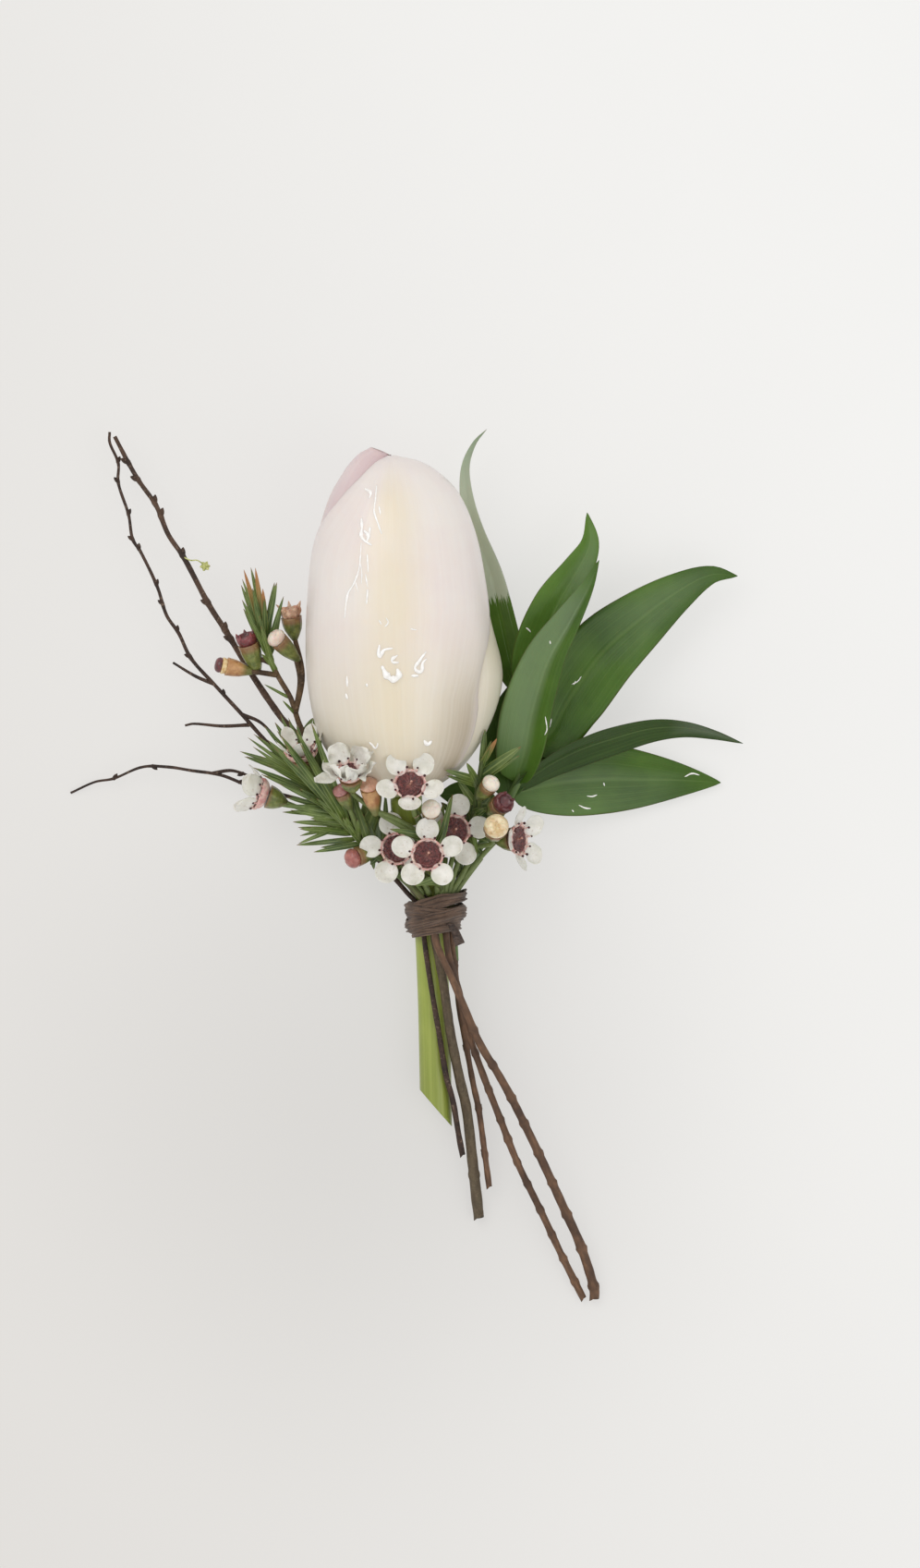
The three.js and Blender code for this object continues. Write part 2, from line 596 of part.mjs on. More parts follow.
function budStalk(name, from) {
  const bud = BUDS.find((entry) => entry.name === name);
  const drop = CAP_DROP * bud.size + 0.02;
  const length = (LONG_CALYXES[name] ?? BUD_CALYX) * bud.size;
  const foot = calyxFoot(bud.centre, bud.faces, drop, length);
  return [
    calyxSolid(bud.centre, bud.faces, drop, 1.4 * bud.size, length),
    stemSolid(route([...from, foot.toArray()]), taper(...STALK_RADII), 4, 2 + from.length),
  ];
}

// A three-sided needle from a share of the stem's length out to its tip, bowed upwards a little
function needleSolid(curve, [share, x, y, z, width = 1]) {
  const root = curve.getPointAt(share);
  const tip = new THREE.Vector3(x, y, z);
  const bow = root.clone().lerp(tip, 0.5);
  bow.z += 0.06 * root.distanceTo(tip);
  const path = new THREE.QuadraticBezierCurve3(root, bow, tip);
  const radius = (run) => NEEDLE_RADIUS * width * (run < 0.2 ? 0.6 : 1) * Math.sqrt(1.04 - run);
  return stemSolid(path, radius, 3, 2);
}

const LEFT_SPRIG = {
  spine: [[32.6, -75.7, 0.92], [32.6, -73.6, 1.3], [30.2, -65.9, 3], [27.8, -60.5, 4.2], [22.9, -49.8, 6.7],
    [18.2, -40.2, 9], [15.7, -35.7, 10], [12.8, -30.9, 11.1], [10.4, -25.3, 12.1], [8, -19.7, 12.9],
    [5.2, -13.3, 13], [4.2, -8, 12.7], [1.8, -4.6, 13], [-3, 0, 13.6], [-8, 4.3, 13.4],
    [-12, 9.5, 12.6], [-15.5, 14, 12], [-18.5, 17.5, 11.6]],
  radii: [0.85, 0.45],
  tuft: [[-6.5, 3, 13.5], [-10, 9, 11.9], [-13.8, 16, 10.9], [-18.3, 24, 10.5], [-20, 29, 10.2],
    [-22.3, 33, 10], [-24.2, 37.5, 10], [-24.3, 40.5, 10.4]],
};
const CENTRE_SPRIG = {
  spine: [[30.9, -75.6, 0.75], [27.2, -68.2, 2.3], [23.2, -59.7, 3.8], [19.2, -51.4, 5.3], [16.3, -44, 6.7],
    [13.1, -35.7, 8.3], [10.6, -28.4, 9.4], [9, -21.3, 10.4], [7.2, -14.9, 11.2], [6.6, -8, 11.1],
    [6, -4.5, 12.6], [5.4, -1.2, 14.8], [4.6, 4, 18.4], [1.8, 8.6, 21]],
  radii: [0.62, 0.55],
};
const RIGHT_SPRIG = {
  spine: [[14.4, -56.2, 2.8], [13.6, -50.1, 3.4], [12.5, -42.1, 4.3], [11.6, -38, 4.8], [10.4, -31.5, 5.7],
    [9.2, -25, 6.5], [8.4, -17.3, 7.3], [7.9, -13.3, 7.8], [7.6, -8, 8.4], [8.8, -3.6, 9.6],
    [9.8, 3, 10.8], [11.4, 8, 12], [12.3, 13, 14.6], [13.2, 19, 17.4]],
  radii: [0.53, 0.45],
};

function sprigSolid(sprig, parts) {
  const curve = route(sprig.spine);
  const stem = stemSolid(curve, taper(...sprig.radii), 5, Math.round(curve.getLength() / 5));
  return fuse([stem, ...parts]);
}

const leftSpine = route(LEFT_SPRIG.spine);
const tuftSpine = route(LEFT_SPRIG.tuft);
const centreSpine = route(CENTRE_SPRIG.spine);
const rightSpine = route(RIGHT_SPRIG.spine);

// Needles as [share of the stem, tip x, tip y, tip z, width]
const LEFT_NEEDLES = [
  [0.97, -28, 18.9, 11.5], [0.99, -25.6, 20.6, 11.2, 0.7], [0.975, -22.7, 24.8, 12.8, 1.3],
  [0.96, -24, 21.8, 13.4], [0.98, -18.9, 24.5, 13, 1.1], [0.95, -16, 26.2, 11.6, 1.3],
  [0.93, -16.2, 21.6, 13.6], [0.88, -18.7, 3.8, 13.4, 0.9], [0.86, -18.4, 6.4, 13.2, 1.1],
  [0.89, -16.5, 8.2, 14.2], [0.85, -12.4, 4.6, 15, 0.8], [0.91, -20.6, 11.8, 14.4],
  [0.93, -26.4, 17, 14.6, 1.1], [0.92, -24.4, 15.6, 17.6, 0.8], [0.9, -21.4, 9.3, 13.6],
  [0.94, -22.6, 16.8, 14.4], [0.96, -21, 19.4, 15], [0.9, -18.4, 13.4, 16.2],
  [0.87, -14.6, 10.6, 16.6, 0.9], [0.86, -9.2, 8.8, 16.4, 0.9], [0.86, -10.4, 8.4, 17.4, 0.8],
  [0.82, -5.6, -0.6, 12.2, 0.9], [0.88, -19.6, 7.6, 12.2], [0.95, -27.4, 22.2, 12.2, 0.8],
  [0.97, -20.8, 23.4, 14.4], [0.91, -22, 10.4, 15.6, 0.9], [0.93, -20, 22.8, 16, 0.9],
  [0.84, -14.8, 3.2, 12.4, 0.9], [0.86, -16.8, 6.8, 15.6, 0.9], [0.89, -14.6, 14.6, 17.4, 0.9],
  [0.92, -14.4, 19.4, 15.4], [0.98, -28.8, 19.8, 10.6, 0.9], [0.99, -24.6, 24.2, 11.4],
  [0.97, -26.4, 22.8, 11.2, 0.9], [0.96, -20.4, 25.6, 11.6, 0.9], [0.98, -21.8, 26.2, 12.4, 0.8],
  [0.84, -16, 2.4, 13.4, 0.9], [0.85, -19, 3.6, 11.6, 0.9], [0.88, -18.4, 5.2, 11.2, 0.8],
  [0.9, -16.6, 11.6, 17.8, 0.8], [0.95, -25.2, 19, 16.8, 0.8],
];
const TUFT_NEEDLES = [
  [0.93, -28.6, 48.6, 9.6], [0.95, -28.1, 51.2, 11.2], [0.97, -26.1, 51.5, 12],
  [0.96, -26.6, 48, 12.8], [0.98, -24.8, 47.9, 12.6], [0.92, -28.4, 46, 11.6, 0.9],
  [0.9, -27.6, 43.8, 13.4, 0.8], [0.97, -22.8, 49, 10.6], [0.85, -25, 36.6, 12.6, 0.8],
  [0.63, -20.6, 29.8, 12.4, 0.9], [0.55, -16.2, 25.6, 8.4, 0.9], [0.99, -26.9, 51.6, 10.6, 0.9],
  [0.98, -22.4, 49, 11.6], [0.95, -27.6, 45.4, 10.4], [0.97, -28.4, 49.6, 10.4, 0.8],
  [0.88, -25.4, 43.2, 14, 0.8], [0.92, -21.2, 46.6, 12.2, 0.8], [0.7, -23.4, 33.2, 12.6, 0.8],
];
const CENTRE_NEEDLES = [
  [0.99, 0.6, 11.6, 20.4], [0.95, -2.8, 6.4, 20.2, 1.1], [0.94, 6, 8.2, 19], [0.9, 7, 3, 17.4, 0.9],
  [0.86, 1.4, -3.4, 17, 1.1], [0.93, -3.6, 8.8, 19.8, 1.1],
  [0.9, 7.6, 8.6, 16, 1.2],
];
const RIGHT_NEEDLES = [
  [0.99, 13.6, 23.6, 19.6], [0.98, 15.6, 22, 20.4, 1.2], [0.95, 19.8, 20.6, 18.4, 1.6],
  [0.93, 10.4, 17.8, 20.6, 1.2], [0.94, 6.6, 16.6, 24.4, 1.1], [0.86, 13.4, 10, 16.8, 1.2],
  [0.82, 15.8, 4, 13.4, 1.5], [0.84, 12.2, 2, 15.6, 0.9],
];

const leftSprig = sprigSolid(LEFT_SPRIG, [
  stemSolid(tuftSpine, taper(0.6, 0.4), 5, 10),
  ...bloomStalk("waxflower_7", [[-9, 5.6, 13.2], [-13, 8, 11.8], [-17.5, 9.6, 11.6]]),
  ...bloomStalk("waxflower_8", [[-12, 9.5, 12.6], [-15, 12.4, 14.6]]),
  ...budStalk("bud_pink_1", [[-8, 4.3, 13.4], [-8.6, 6.8, 15]]),
  ...budStalk("bud_pink_2", [[-4, 1, 13.6], [-5.2, 2.2, 13.8]]),
  ...budStalk("bud_white_3", [[-19.2, 26.4, 10.4], [-18.4, 32, 10]]),
  ...budStalk("bud_tawny", [[-22.3, 33, 10], [-25, 33.4, 10.4]]),
  ...budStalk("cup_spent_1", [[-23.2, 35, 10], [-25.4, 35.6, 10.3]]),
  ...budStalk("bloom_withered", [[-19.2, 26.4, 10.4], [-18, 33, 10.2]]),
  ...LEFT_NEEDLES.map((needle) => needleSolid(leftSpine, needle)),
  ...TUFT_NEEDLES.map((needle) => needleSolid(tuftSpine, needle)),
]);
addPiece("waxflower_sprig_left", leftSprig, NEEDLE_GREEN);

const centreSprig = sprigSolid(CENTRE_SPRIG, [
  ...bloomStalk("waxflower_1", [[1.6, 8.6, 20.6]]),
  ...bloomStalk("waxflower_2", [[5.6, -3.4, 13.4], [4.8, -1.6, 15.4]]),
  ...bloomStalk("waxflower_3", [[5.6, -3.4, 13.4], [2.4, -0.8, 12.4]]),
  ...bloomStalk("waxflower_6", [[4.6, 4, 18.4], [-3.4, 8.4, 18.6], [-8.8, 12.2, 20.2]]),
  ...budStalk("bud_white_1", [[4.6, 4, 18.4], [3.8, 6.6, 18.8]]),
  ...budStalk("bud_peach", [[4.6, 4, 18.4], [-1.4, 8, 18.6]]),
  ...CENTRE_NEEDLES.map((needle) => needleSolid(centreSpine, needle)),
]);
addPiece("waxflower_sprig_centre", centreSprig, NEEDLE_GREEN);

const rightSprig = sprigSolid(RIGHT_SPRIG, [
  ...bloomStalk("waxflower_4", [[9.2, -1, 10.4], [8.2, 3, 9.8]]),
  ...bloomStalk("waxflower_5", [[8.8, -3.6, 9.6], [12.4, 1, 11]]),
  ...budStalk("bud_white_2", [[11, 6.8, 11.7], [12.6, 9.8, 13.6]]),
  ...budStalk("bud_amber", [[9.9, 3.4, 10.9], [14.6, 3.8, 13.6]]),
  ...budStalk("cup_spent_2", [[11, 6.8, 11.7], [14.2, 8.4, 12.8]]),
  ...RIGHT_NEEDLES.map((needle) => needleSolid(rightSpine, needle)),
]);
addPiece("waxflower_sprig_right", rightSprig, NEEDLE_GREEN);

// Binding: three turns of crinkled ribbon round the neck, with a short cut tail

const NECK = { middle: point([5, -8.6, 8.6]), halfWidth: 4.7, halfHeight: 5.6, length: 5.4 };
const RIBBON_WALL = 0.5;
const RIBBON_TURNS = 3;
const RIBBON_SWELL = 0.3;

function ellipseShape(halfWidth, halfHeight) {
  const shape = new THREE.Shape();
  shape.absellipse(0, 0, halfWidth, halfHeight, 0, 2 * Math.PI);
  return shape;
}

function ribbonBinding() {
  const outline = ellipseShape(NECK.halfWidth + RIBBON_WALL, NECK.halfHeight + RIBBON_WALL);
  outline.holes.push(ellipseShape(NECK.halfWidth, NECK.halfHeight));
  const band = new THREE.ExtrudeGeometry(outline, {
    depth: NECK.length,
    steps: 2 * RIBBON_TURNS,
    curveSegments: 10,
    bevelEnabled: false,
  });
  reshape(band, (spot) => {
    const isOuter = Math.hypot(spot.x / NECK.halfWidth, spot.y / NECK.halfHeight) > 1.04;
    const angle = Math.atan2(spot.y, spot.x);
    const wave = Math.cos((spot.z / NECK.length) * 2 * Math.PI * RIBBON_TURNS + angle);
    const swell = isOuter ? 1 + (RIBBON_SWELL * (0.5 - 0.5 * wave)) / NECK.halfWidth : 1;
    const slant = 0.1 * spot.x;
    spot.set(spot.x * swell, slant + spot.z - NECK.length / 2, spot.y * swell);
  });
  band.translate(...NECK.middle.toArray());
  const tail = new THREE.BoxGeometry(1.1, 4.2, 0.8);
  tail.rotateZ(0.2);
  tail.translate(8.6, -11.6, 12.3);
  return solid(band).add(solid(tail));
}

addPiece("ribbon_binding", ribbonBinding(), RIBBON_BROWN);

export default boutonniere;
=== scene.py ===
# A hand-tied boutonniere on its back: a tulip bud, ruscus leaves, bare twigs and waxflower,
# bound at the neck with crinkled ribbon. Metres, +Z up from the surface, +Y towards the bud's tip.
import math
import random

import bmesh
import bpy
from mathutils import Matrix, Quaternion, Vector, noise
from mathutils.bvhtree import BVHTree
from mathutils.geometry import interpolate_bezier


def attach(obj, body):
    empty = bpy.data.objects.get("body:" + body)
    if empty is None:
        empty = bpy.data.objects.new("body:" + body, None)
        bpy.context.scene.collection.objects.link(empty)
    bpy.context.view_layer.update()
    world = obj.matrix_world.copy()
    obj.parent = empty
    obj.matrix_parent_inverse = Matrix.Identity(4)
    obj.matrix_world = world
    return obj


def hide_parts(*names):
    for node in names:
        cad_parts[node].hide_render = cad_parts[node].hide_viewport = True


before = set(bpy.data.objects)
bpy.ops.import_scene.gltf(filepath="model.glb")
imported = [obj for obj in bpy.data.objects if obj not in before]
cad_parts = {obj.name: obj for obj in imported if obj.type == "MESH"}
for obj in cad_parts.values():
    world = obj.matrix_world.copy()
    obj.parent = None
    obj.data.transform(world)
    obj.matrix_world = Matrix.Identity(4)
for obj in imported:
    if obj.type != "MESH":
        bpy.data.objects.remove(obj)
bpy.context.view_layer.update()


# Tulip bud. Three outer and three inner tepals, thick and waxy, closed into an egg round each
# other. All of them grow from the top of the stem, and the left one behind stands off at its tip.
MM = 0.001
UP = Vector((0, 0, 1))
BUD_BASE = Vector((0, 12.3, 12.9)) * MM
BUD_TIP = Vector((-2.6, 71.7, 19.6)) * MM
BUD_LENGTH = (BUD_TIP - BUD_BASE).length
BUD_AXIS = (BUD_TIP - BUD_BASE).normalized()
BUD_RIGHT = BUD_AXIS.cross(UP).normalized()
BUD_UP = BUD_RIGHT.cross(BUD_AXIS)
# Share of the bud's length, and its radius in mm there
BUD_OUTLINE = [
    (0, 3.2), (0.025, 6.4), (0.08, 10.9), (0.18, 14.6), (0.32, 16.1), (0.46, 16.3), (0.62, 15.6),
    (0.76, 14.2),
    (0.88, 11.5), (0.95, 7.8), (0.985, 4.4), (1, 1.3),
]
TEPAL_THICKNESS = 0.6 * MM
TEPAL_ROWS = 64
# How far round the bud the front tepal, the left one behind it and the others reach, in degrees: the
# share of the bud's length, then left and right of the tepal's middle
FRONT_EDGES = [
    (0, 60, 48), (0.1, 88, 58), (0.3, 94, 62), (0.45, 95, 78), (0.55, 95, 90), (0.7, 93, 93), (0.76, 87, 95),
    (0.82, 71, 97), (0.88, 54, 98), (0.95, 44, 96), (0.985, 42, 84), (1, 30, 40),
]
BACK_EDGES = [
    (0, 70, 70), (0.1, 88, 88), (0.8, 90, 90), (0.9, 90, 86), (0.95, 90, 82), (0.985, 86, 74), (1, 74, 50),
]
SIDE_EDGES = [
    (0, 36, 36), (0.025, 58, 58), (0.08, 65, 65), (0.32, 68, 68), (0.62, 63, 64), (0.76, 60, 66),
    (0.9, 58, 68),
    (0.97, 56, 68), (1, 50, 60),
]
# facing: degrees round the bud from straight up towards +X; inset: how far inside the bud's outline
# it lies, in mm; bulge: how far its lower part swells; flare: how far its tip stands off, and half
# as much beyond the others
TEPALS = [
    {"facing": -3, "inset": 0, "edges": FRONT_EDGES, "tip": 0.985, "bulge": 0, "flare": 0},
    {"facing": 105, "inset": 0.8, "edges": SIDE_EDGES, "tip": 0.975, "bulge": 2.3, "flare": 0},
    {"facing": -103, "inset": 0.75, "edges": BACK_EDGES, "tip": 0.985, "bulge": 0.3, "flare": 2.9},
    {"facing": 58, "inset": 1.5, "edges": SIDE_EDGES, "tip": 0.972, "bulge": 0, "flare": 0},
    {"facing": -66, "inset": 1.5, "edges": SIDE_EDGES, "tip": 0.975, "bulge": 0, "flare": 0},
    {"facing": 178, "inset": 1.5, "edges": SIDE_EDGES, "tip": 0.972, "bulge": 0, "flare": 0},
]


def run_through(points, steps):
    """Evenly spaced places along a smooth line through the points."""
    ends = [points[0] * 2 - points[1], *points, points[-1] * 2 - points[-2]]
    fine = []
    for before, here, there, after in zip(ends, ends[1:], ends[2:], ends[3:]):
        reach = (there - here).length / 3
        leave = (there - before).normalized() * reach
        arrive = (after - here).normalized() * reach
        fine += interpolate_bezier(here, here + leave, there - arrive, there, 15)[:-1]
    fine.append(points[-1])
    run = [0.0]
    for here, there in zip(fine, fine[1:]):
        run.append(run[-1] + (there - here).length)
    places = []
    i = 0
    for step in range(steps + 1):
        wanted = run[-1] * step / steps
        while i < len(fine) - 2 and run[i + 1] < wanted:
            i += 1
        places.append(fine[i].lerp(fine[i + 1], (wanted - run[i]) / (run[i + 1] - run[i])))
    return places


def skin(bm, columns, rows, place, finish=0, mark=None):
    """A grid laid across (-1 to 1) and along (0 to 1), each corner put where place says."""
    made = bmesh.ops.create_grid(bm, x_segments=columns, y_segments=rows, size=1, calc_uvs=True)["verts"]
    for corner in made:
        across, along = corner.co.x, (corner.co.y + 1) / 2
        corner.co = place(across, along)
        if mark:
            mark(corner, across, along)
    for face in {face for corner in made for face in corner.link_faces}:
        face.material_index = finish
        face.smooth = True
    return made


def thicken(bm, corners, thickness):
    faces = list({face for corner in corners for face in corner.link_faces})
    bmesh.ops.solidify(bm, geom=faces, thickness=thickness)


def fresh_mesh():
    bm = bmesh.new()
    bm.loops.layers.uv.new("UVMap")
    return bm


def shell_round(face):
    """All the faces of the closed shell that the face belongs to."""
    shell = {face}
    to_visit = [face]
    while to_visit:
        for edge in to_visit.pop().edges:
            for beside in edge.link_faces:
                if beside not in shell:
                    shell.add(beside)
                    to_visit.append(beside)
    return shell


def face_outwards(bm):
    """Turns each closed shell so that the volume inside it comes out positive."""
    bmesh.ops.recalc_face_normals(bm, faces=bm.faces)
    waiting = set(bm.faces)
    while waiting:
        shell = shell_round(next(iter(waiting)))
        waiting -= shell
        middle = next(iter(shell)).verts[0].co.copy()
        inside = 0.0
        for face in shell:
            inside += (face.calc_center_median() - middle).dot(face.normal) * face.calc_area()
        if inside < 0:
            bmesh.ops.reverse_faces(bm, faces=list(shell))


def finished(name, bm, *finishes):
    face_outwards(bm)
    mesh = bpy.data.meshes.new(name)
    bm.to_mesh(mesh)
    bm.free()
    for finish in finishes:
        mesh.materials.append(finish)
    piece = bpy.data.objects.new(name, mesh)
    bpy.context.scene.collection.objects.link(piece)
    return piece


def rounded(piece):
    softener = piece.modifiers.new("rounded", "SUBSURF")
    softener.levels = 1
    softener.render_levels = 1
    return piece


def spots(points):
    return [Vector(point) * MM for point in points]


def lay_stalk(bm, points, radius_at, sides, steps, finish=0, cut=None, slant=0):
    """A round stalk along the points, closed at both ends. radius_at gives mm for 0 to 1. cut is
    the finish of its ends, and slant is the slope of the end at its first point."""
    path = run_through(points, steps)
    sideways = (path[1] - path[0]).cross(UP).normalized()
    rings = []
    for i, centre in enumerate(path):
        tangent = (path[min(i + 1, steps)] - path[max(i - 1, 0)]).normalized()
        sideways = (sideways - tangent * sideways.dot(tangent)).normalized()
        rings.append((centre, sideways.copy(), tangent.cross(sideways), radius_at(i / steps) * MM))

    def place(across, along):
        centre, right, over, radius = rings[round(along * steps)]
        angle = math.pi * across
        spot = centre + (right * math.cos(angle) + over * math.sin(angle)) * radius
        if along == 0:
            spot += (path[1] - path[0]).normalized() * slant * (1 + math.cos(angle)) * radius
        return spot

    corners = skin(bm, sides, steps, place, finish)
    bmesh.ops.remove_doubles(bm, verts=corners, dist=1e-7)
    kept = [corner for corner in corners if corner.is_valid]
    rims = {edge for corner in kept for edge in corner.link_edges if edge.is_boundary}
    caps = bmesh.ops.holes_fill(bm, edges=list(rims), sides=0)["faces"]
    for cap in caps:
        cap.material_index = finish if cut is None else cut
    return kept


def narrowing(start, end):
    return lambda run: start + (end - start) * run


bud_profile = run_through([Vector((s * BUD_LENGTH, r * MM, 0)) for s, r in BUD_OUTLINE], TEPAL_ROWS)


def reach_round(edges, across, share):
    """Radians from a tepal's middle, where across is -1 at its left edge and 1 at its right."""
    for (low, *here), (high, *there) in zip(edges, edges[1:]):
        if share <= high:
            break
    side = 1 if across > 0 else 0
    return across * math.radians(here[side] + (there[side] - here[side]) * min((share - low) / (high - low),
                                                                               1))


def lay_tepal(bm, facing, inset, edges, tip, bulge, flare):
    seed = Vector((facing, 3.1, 0.7))

    def place(across, along):
        spot = bud_profile[round(along * TEPAL_ROWS)]
        share, radius = spot.x / BUD_LENGTH, spot.y
        angle = math.radians(facing) + reach_round(edges, across, share)
        low = math.exp(-(((share - 0.33) / 0.14) ** 2)) * (1 - across * across) ** 2
        stand_off = flare * share ** 18 * max(math.cos(math.pi / 1.6 * (across - 0.2)), 0) ** 1.5
        ripple = noise.noise(Vector((across * 2.2, along * 3.4, 0)) + seed) * 0.25 * math.sin(math.pi * share)
        crease = -0.1 * math.exp(-((across / 0.05) ** 2)) * math.sin(math.pi * share)
        radius += (bulge * low + stand_off + ripple + crease - 0.3 * abs(across) ** 9 - inset) * MM
        spot = BUD_BASE + BUD_AXIS * (share * tip * BUD_LENGTH + 0.5 * stand_off * MM)
        return spot + (BUD_RIGHT * math.sin(angle) + BUD_UP * math.cos(angle)) * max(radius, 0.7 * MM)

    return skin(bm, 40, TEPAL_ROWS, place)


def paint(red, green, blue):
    """A colour as the eye reads it, 0 to 255, turned to the shader's linear scale."""
    return (*[((c / 255 + 0.055) / 1.055) ** 2.4 if c > 10 else c / 3294 for c in (red, green, blue)], 1)


WHITE = paint(255, 255, 255)
BLACK = paint(0, 0, 0)


def add_node(tree, kind, feeds, **settings):
    made = tree.nodes.new(kind)
    for key, value in settings.items():
        setattr(made, key, value)
    for socket, feed in feeds.items():
        if isinstance(feed, bpy.types.NodeSocket):
            tree.links.new(feed, made.inputs[socket])
        else:
            made.inputs[socket].default_value = feed
    return made


def new_effect(name, inputs, outputs):
    group = bpy.data.node_groups.new(name, "ShaderNodeTree")
    for label, kind, value in inputs:
        socket = group.interface.new_socket(label, in_out="INPUT", socket_type=kind)
        if value is not None:
            socket.default_value = value
    for label, kind in outputs:
        group.interface.new_socket(label, in_out="OUTPUT", socket_type=kind)
    return group, group.nodes.new("NodeGroupInput"), group.nodes.new("NodeGroupOutput")


# Fine lines that run the length of a piece, from its UV map
lengthwise_lines, lines_in, lines_out = new_effect(
    "lengthwise_lines",
    [("Vector", "NodeSocketVector", None), ("Lines", "NodeSocketFloat", 40),
     ("Waver", "NodeSocketFloat", 1.5)],
    [("Value", "NodeSocketFloat")],
)
line_scale = add_node(
    lengthwise_lines, "ShaderNodeCombineXYZ", {"X": lines_in.outputs["Lines"],
                                               "Y": lines_in.outputs["Waver"]})
line_place = add_node(
    lengthwise_lines, "ShaderNodeVectorMath", {0: lines_in.outputs["Vector"], 1: line_scale.outputs[0]},
    operation="MULTIPLY")
line_noise = add_node(
    lengthwise_lines, "ShaderNodeTexNoise", {"Vector": line_place.outputs[0], "Scale": 1, "Detail": 3})
lengthwise_lines.links.new(line_noise.outputs["Fac"], lines_out.inputs["Value"])

# Cloudy patches between two colours, from any coordinates
patches, patches_in, patches_out = new_effect(
    "patches",
    [("Vector", "NodeSocketVector", None), ("Size", "NodeSocketFloat", 0.004),
     ("Light", "NodeSocketColor", None), ("Dark", "NodeSocketColor", None)],
    [("Color", "NodeSocketColor"), ("Value", "NodeSocketFloat")],
)
patch_scale = add_node(patches, "ShaderNodeMath", {0: 1, 1: patches_in.outputs["Size"]}, operation="DIVIDE")
patch_noise = add_node(
    patches, "ShaderNodeTexNoise",
    {"Vector": patches_in.outputs["Vector"], "Scale": patch_scale.outputs[0], "Detail": 4, "Roughness": 0.55})
patch_edge = add_node(
    patches, "ShaderNodeMapRange", {"Value": patch_noise.outputs["Fac"], "From Min": 0.35, "From Max": 0.65})
patch_mix = add_node(
    patches, "ShaderNodeMix",
    {0: patch_edge.outputs["Result"], "A": patches_in.outputs["Dark"], "B": patches_in.outputs["Light"]},
    data_type="RGBA")
patches.links.new(patch_mix.outputs["Result"], patches_out.inputs["Color"])
patches.links.new(patch_edge.outputs["Result"], patches_out.inputs["Value"])


class Finish:
    """One material's node tree with its coordinates, and short ways to add to it."""

    def __init__(self, name, **surface):
        self.material = bpy.data.materials.new(name)
        self.material.use_nodes = True
        self.tree = self.material.node_tree
        self.shader = self.tree.nodes["Principled BSDF"]
        for socket, value in surface.items():
            self.shader.inputs[socket.replace("_", " ")].default_value = value
        coordinates = self.tree.nodes.new("ShaderNodeTexCoord")
        self.uv = coordinates.outputs["UV"]
        self.object = coordinates.outputs["Object"]
        split = self.add("ShaderNodeSeparateXYZ", {0: self.uv})
        self.u, self.v = split.outputs["X"], split.outputs["Y"]

    def add(self, kind, feeds, **settings):
        return add_node(self.tree, kind, feeds, **settings)

    def effect(self, group, feeds):
        made = self.add("ShaderNodeGroup", {}, node_tree=group)
        for socket, feed in feeds.items():
            if isinstance(feed, bpy.types.NodeSocket):
                self.tree.links.new(feed, made.inputs[socket])
            else:
                made.inputs[socket].default_value = feed
        return made

    def clouds(self, size, light, dark):
        """Cloudy patches between two colours, each about as large as size in metres."""
        return self.effect(patches, {"Vector": self.object, "Size": size, "Light": light, "Dark": dark})

    def lines(self, fineness, waver):
        """Fine lines that run the length of the piece."""
        feeds = {"Vector": self.uv, "Lines": fineness, "Waver": waver}
        return self.effect(lengthwise_lines, feeds).outputs["Value"]

    def attribute(self, name):
        return self.add("ShaderNodeAttribute", {}, attribute_name=name).outputs["Fac"]

    def between(self, value, low, high, start=0, end=1):
        feeds = {"Value": value, "From Min": low, "From Max": high, "To Min": start, "To Max": end}
        return self.add("ShaderNodeMapRange", feeds, interpolation_type="SMOOTHSTEP").outputs["Result"]

    def math(self, operation, one, other=0.0):
        return self.add("ShaderNodeMath", {0: one, 1: other}, operation=operation).outputs[0]

    def off_middle(self):
        """How far across the blade from its midrib: 0 on it, 1 at the edge."""
        return self.math("MULTIPLY", self.math("ABSOLUTE", self.math("SUBTRACT", self.u, 0.5)), 2.0)

    def mix(self, share, one, other, blend="MIX"):
        feeds = {0: share, "A": one, "B": other}
        return self.add("ShaderNodeMix", feeds, data_type="RGBA", blend_type=blend).outputs["Result"]

    def colour(self, socket):
        self.tree.links.new(socket, self.shader.inputs["Base Color"])

    def roughness(self, socket):
        self.tree.links.new(socket, self.shader.inputs["Roughness"])

    def bump(self, height, depth, strength):
        made = self.add("ShaderNodeBump", {"Height": height, "Distance": depth, "Strength": strength})
        self.tree.links.new(made.outputs["Normal"], self.shader.inputs["Normal"])


